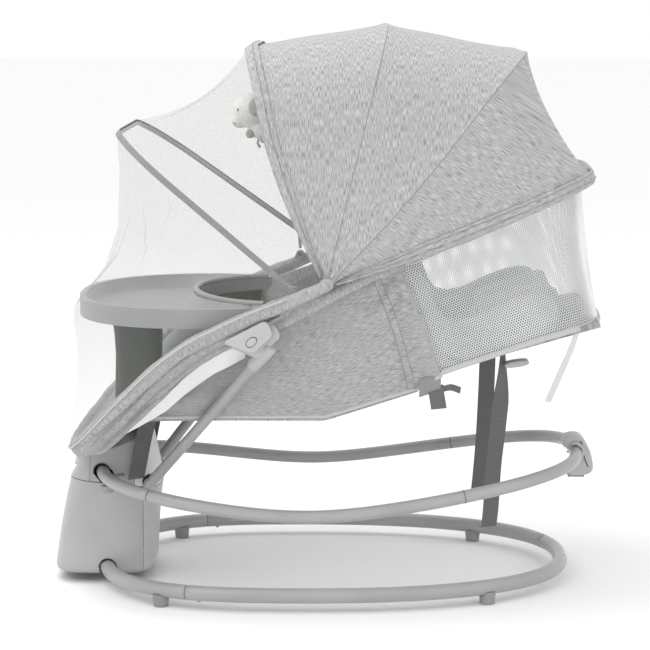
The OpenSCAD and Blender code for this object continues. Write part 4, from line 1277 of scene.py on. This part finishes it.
def hex_mesh(name, cols, rows, place, thread):
    """Knitted mesh: a sheet of six-sided cells mapped onto the basket, each side a round-looking thread."""
    verts, edges, faces = [], [], []
    step_u, step_v = 1 / cols, 1 / rows
    index = {}

    def corner(a, b):
        key = (a, b)
        if key not in index:
            index[key] = len(verts)
            verts.append(Vector(place(min(1, max(0, a / 2 * step_u)), min(1, max(0, b / 3 * step_v)))) * MM)
        return index[key]

    for j in range(rows):
        for i in range(cols):
            a, b = 2 * i + (j % 2), 3 * j
            if a + 2 > 2 * cols or b + 4 > 3 * rows:
                continue
            faces.append([corner(a, b + 1), corner(a + 1, b), corner(a + 2, b + 1), corner(a + 2, b + 3),
                corner(a + 1, b + 4), corner(a, b + 3)])
    mesh = bpy.data.meshes.new(name)
    mesh.from_pydata(verts, edges, faces)
    obj = bpy.data.objects.new(name, mesh)
    bpy.context.collection.objects.link(obj)
    modify(obj, "WIREFRAME", thickness=thread * MM, use_replace=True, use_even_offset=False,
        use_boundary=True)
    return settle(obj, name)


for number, label in enumerate(("left", "rear", "right")):
    length_of_net = hex_mesh(f"mesh_basket_{label}", 70, 52, lambda u, v: basket_point((number + u) / 3, v),
        1.35)
    clothe(length_of_net, net_yarn, "backrest", ("mesh_basket",) if number == 1 else ())
low_line = [spline(BASKET_LOW, k / 140) for k in range(141)]
clothe(tube("basket_floor_piping", low_line, 4.2, 5), piping_cloth, "backrest")
for side, label in ((-1, "left"), (1, "right")):
    edge = [basket_point(0.0 if side > 0 else 1.0, k / 30) for k in range(31)]
    clothe(tube(label + "_basket_edge", edge, 1.5, 4), piping_cloth, "backrest")
    bolster = softened([(118, 474), (140, 484), (173, 399), (286, 449), (322, 450), (337, 425), (334, 388),
        (172, 338)], 2)
    clothe(plate(label + "_inner_bolster", bolster, side * 164, side * 174, 4, 5), pad_cloth, "backrest")


back_cover = mirrored([
    [-58, 203, 414.4], [30, 203, 463], [110, 203, 501], [200, 203, 538], [276, 200, 570], [336, 181, 595],
    [368, 139, 608],
    [381, 80, 614], [384, 0, 616]
])
sizes = [10.6 + 0.5 * math.sin(k * 0.5) * math.sin(k * 0.17) for k in range(201)]
cover = tube("backrest_tube_sleeve", [spline(back_cover, k / 200) for k in range(201)], sizes, 6)
clothe(cover, melange_dark, "backrest")


def board_point(u, v):
    x = mix(150, 396, v)
    z = mix(331, 402, v) + 2 * math.sin(u * 20) * math.sin(v * 12)
    y = mix(-172, 172, u)
    crown = 7 * math.sin(math.pi * u) * math.sin(math.pi * v)
    return x, y, z + crown


board = surface("backrest_pad", 40, 40, board_point, (0.34, 0.26), 9, offset=-1, levels=0)
clothe(board, pad_cloth, "backrest", ("back_board",))

# ---------- head pillow, filled by a cloth simulation ----------


def stuffed(name, low, high, tilt, depth, cap):
    """Box of cloth blown up a little, then turned about Y by tilt degrees."""
    deselect()
    size = [b - a for a, b in zip(low, high)]
    bpy.ops.mesh.primitive_cube_add(size=1)
    obj = bpy.context.object
    for vertex in obj.data.vertices:
        vertex.co = Vector([c * s for c, s in zip(vertex.co, size)]) * MM
    modify(obj, "BEVEL", width=9 * MM, segments=3)
    modify(obj, "REMESH", mode="VOXEL", voxel_size=5 * MM)
    scene = bpy.context.scene
    cloth_mod = obj.modifiers.new("fill", "CLOTH")
    settings = cloth_mod.settings
    settings.use_pressure = True
    settings.uniform_pressure_force = 4
    settings.tension_stiffness = settings.compression_stiffness = 12
    settings.bending_stiffness = 0.6
    settings.effector_weights.gravity = 0
    settings.shrink_min = -0.06
    cloth_mod.collision_settings.use_collision = False
    scene.frame_start, scene.frame_end = 1, 16
    before = [vertex.co.copy() for vertex in obj.data.vertices]
    for frame_number in range(1, 17):
        scene.frame_set(frame_number)
    bpy.context.view_layer.objects.active = obj
    bpy.ops.object.modifier_apply(modifier="fill")
    scene.frame_set(1)
    for vertex, start in zip(obj.data.vertices, before):
        step = vertex.co - start
        if step.length > cap * MM:
            vertex.co = start + step.normalized() * cap * MM
    middle = Vector([(a + b) / 2 for a, b in zip(low, high)]) * MM
    turn = Matrix.Rotation(math.radians(tilt), 4, "Y")
    for vertex in obj.data.vertices:
        half_y = vertex.co.y / (size[1] * MM / 2)
        dent = depth * MM * math.exp(-((vertex.co.y / (45 * MM)) ** 2)) * (vertex.co.z > 0)
        vertex.co.z -= dent
        vertex.co.x += 6 * MM * half_y * half_y
        vertex.co = middle + turn @ vertex.co
    modify(obj, "SUBSURF", levels=1, render_levels=1)
    return settle(obj, name)


pillow = stuffed("head_pillow_pad", (226, -104, 402), (338, 104, 434), -19, 8, 7)
clothe(pillow, pad_cloth, "backrest", ("head_pillow",))
pillow_seam = []
for k in range(121):
    a = 2 * math.pi * k / 120
    x, y = 60 * sgn_pow(math.cos(a), 0.5), 108 * sgn_pow(math.sin(a), 0.5)
    lift = 6 * (y / 108) ** 2
    pillow_seam.append([282 + (x + lift) * 0.9455, y, 418 + (x + lift) * 0.3256])
clothe(tube("head_pillow_seam", pillow_seam, 1.6, 3, cyclic=True), piping_cloth, "backrest")

# ---------- hanging toy ----------


def soft_toy(name, balls, material, replaces=(), voxel=1.6):
    obj = merge(name, [ball(centre, radii) for centre, radii in balls])
    modify(obj, "REMESH", mode="VOXEL", voxel_size=voxel * MM)
    modify(obj, "SMOOTH", factor=0.5, iterations=6)
    return clothe(settle(obj, name), material, "toy", replaces)


soft_toy("toy_body", [
    ((-108, 0, 702), (30, 27, 27)), ((-128, 0, 688), (12, 14, 12)), ((-96, 0, 676), (18, 19, 17)),
    ], plush_white, ("plush_toy",))
soft_toy("toy_ears", [((-104, side * 25, 708), (10, 5, 14)) for side in (-1, 1)], plush_grey)
soft_toy("toy_limbs", [
    ((-112, side * 11, 668), (7, 6, 7)) for side in (-1, 1)
    ] + [((-92, side * 12, 662), (7, 6, 8)) for side in (-1, 1)], plush_grey)
soft_toy("toy_cheeks", [((-135, side * 9, 684), (3, 3, 2.6)) for side in (-1, 1)], plush_pink, voxel=0.7)
soft_toy("toy_eyes", [((-129, side * 18.6, 704), (2, 1.8, 2.4)) for side in (-1, 1)], seam_thread, voxel=0.4)
for side, label in ((-1, "left"), (1, "right")):
    ribbon = [[-98, side * 8, 662], [-101, side * 9, 654], [-97, side * 9, 647]]
    clothe(tube(label + "_toy_ribbon", [spline(ribbon, k / 14) for k in range(15)], 1.5, 3), plush_pink,
        "toy")
toy_cord = [[-88, 0, 772], [-91, 0, 757], [-97, 0, 741], [-104, 0, 728], [-106, 0, 716]]
clothe(tube("toy_cord", [spline(toy_cord, k / 30) for k in range(31)], 1.1, 3), white_tape, "toy")
toy_eye = settle(rod((-88, 0, 774), (0, 1, 0), 3, 8, 32), "toy_eye")
clothe(toy_eye, white_abs, "toy")

# ---------- straps in the seat and under the backrest ----------


def strap_on(name, line, width, body, material=None, across=(0, 1, 0), thick=1.6, replaces=()):
    """Flat strap along a line, its width along one fixed direction."""
    side = Vector(across) * width / 2
    points = [spline(line, k / 60) for k in range(61)]

    def place(u, v):
        p = Vector(lerp(points[min(59, int(v * 60))], points[min(60, int(v * 60) + 1)],
            v * 60 - min(59, int(v * 60))))
        return p + side * (2 * u - 1)

    length = sum((Vector(b) - Vector(a)).length for a, b in zip(points, points[1:])) / 1000
    strap = surface(name, 6, 120, place, (width / 1000, length), thick, offset=0)
    return clothe(strap, material or dark_web, body, replaces)


strap_on("left_front_strap", [
    [-256, -96, 262], [-262, -90, 244], [-267, -85.2, 228], [-272, -84.4, 205], [-277, -84.4, 180],
    [-281, -84.6, 160]
    ], 25, "rocker", across=(0.98, 0.1, 0.1), replaces=("front_straps",))
strap_on("right_front_strap", [
    [-256, 96, 262], [-262, 90, 244], [-267, 85.2, 228], [-272, 84.4, 205], [-277, 84.4, 180],
    [-281, 84.6, 160]
    ], 25, "rocker", across=(0.98, -0.1, 0.1))
strap_on("crotch_strap", [[-190, 0, 299], [-150, 0, 303], [-110, 0, 303], [-70, 0, 304]], 28, "rocker",
    replaces=("harness",))
for side, label in ((-1, "left"), (1, "right")):
    strap_on(label + "_waist_strap", [
        [-50, side * 24, 304], [-48, side * 70, 303], [-42, side * 120, 304], [-38, side * 140, 306]
        ], 25, "rocker", across=(1, 0, 0))
buckle = plate("harness_buckle", softened([(-78, -32), (-22, -32), (-22, 32), (-78, 32)]), 297, 309, 2.4, 4,
    flat="XY")
clothe(buckle, dark_abs, "rocker")
press = plate("harness_buckle_press", softened([(-66, -14), (-38, -14), (-38, 14), (-66, 14)]), 308, 310.6,
    1.0, 3, flat="XY")
clothe(press, light_abs, "rocker")

# Recline webbing: a light band over the wall's hem and a dark tail that hangs in a loop
for side, label in ((-1, "left"), (1, "right")):
    y = side * 178
    strap_on(label + "_recline_band", [
        [152, y - side * 8, 334], [152, y - side * 2, 331], [152, y + side * 1, 322], [152, y, 312],
        [152, y - side * 4, 306]
        ], 33, "backrest", seam_thread, across=(0.94, 0, 0.33), thick=1.8)
    strap_on(label + "_recline_tail", [
        [160, y - side * 3, 318], [161, y - side * 1, 308], [163, y, 296], [165, y, 284]
        ], 23, "backrest", dark_web, across=(0.97, 0, 0.1), thick=1.6)
    strap_on(label + "_recline_end", [
        [170, y - side * 4, 312], [182, y - side * 2, 315], [196, y - side * 5, 310]
        ], 12, "backrest", dark_web, across=(0.1, 0.6 * side, 0.8), thick=1.6)
clip = plate("strap_clip", softened([(264, 331), (299, 336), (299, 345), (264, 340)], 2), -112, -88, 1.2, 3)
clothe(clip, light_abs, "backrest")

# ---------- kickstand under the rocker's rear end ----------

END = [378, 0, 191]
stand_shape = softened([
    (358, 196), (363, 212), (388, 214), (402, 190), (407, 162), (398, 153), (368, 152), (367, 162),
    (376, 168), (383, 184),
    (374, 194)
    ], 2)
clothe(plate("stand_cap", stand_shape, -22, 22, 2.6, 4), light_abs, "stand", ("rocker_stand",))
# Painted shade: a thin dark line for the shade in the cap's seam
stand_seam = [[x, -22.2, z] for x, z in ((386, 206), (391, 193), (392, 180), (398, 166))]
clothe(tube("stand_cap_seam_shade", stand_seam, 0.7, 2), gap_shade_paint, "stand")
teeth = [settle(block((368.5 + k * 3.6, -19, 149.6), (370.7 + k * 3.6, 19, 155)), "tooth") for k in range(7)]
pad_plate = plate("stand_grip", [(367, 153), (394, 153), (397, 158), (369, 162)], -20, 20, 0.8, 2)
clothe(merge("stand_grip", [pad_plate] + teeth), foot_rubber, "stand")
for side, label in ((-1, "left"), (1, "right")):
    ring = rod([END[0], side * 27, END[2]], (0, 1, 0), 14, 8)
    cut(ring, rod([END[0], side * 27, END[2]], (0, 1, 0), 9.6, 20))
    cut(ring, block((352, side * 27 - 10, 180), (380, side * 27 + 10, 202)))
    modify(ring, "BEVEL", width=1.0 * MM, segments=3, limit_method="ANGLE", angle_limit=math.radians(50))
    clip_ring = clothe(settle(ring, label + "_stand_clip"), light_abs, "rocker")
    if side < 0:
        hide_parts("stand_clip")

# ---------- materials of the pieces kept from the frame ----------

KEPT = {
    "floor_snap_pins": zinc_steel, "floor_feet": foot_rubber, "tower_floor_plate": dark_abs,
    "drive_motor": zinc_steel,
    "drive_gearbox": white_abs, "shaft_bearing": bearing_pom, "battery_box": dark_abs,
    "housing_screws": zinc_steel,
    "swing_shaft": zinc_steel, "circuit_board": inner_board, "power_button": white_abs,
    "speed_button": white_abs,
    "music_button": white_abs, "rocker_rivets": zinc_steel, "rocker_pads": foot_rubber,
    "canopy_pivots": dark_abs,
    "net_pivots": dark_abs,
}
for name, node_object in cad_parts.items():
    if node_object.hide_render:
        continue
    node_object.data.materials.clear()
    node_object.data.materials.append(KEPT.get(name, grey_abs))
    if name not in KEPT:
        print("kept without its own material:", name)
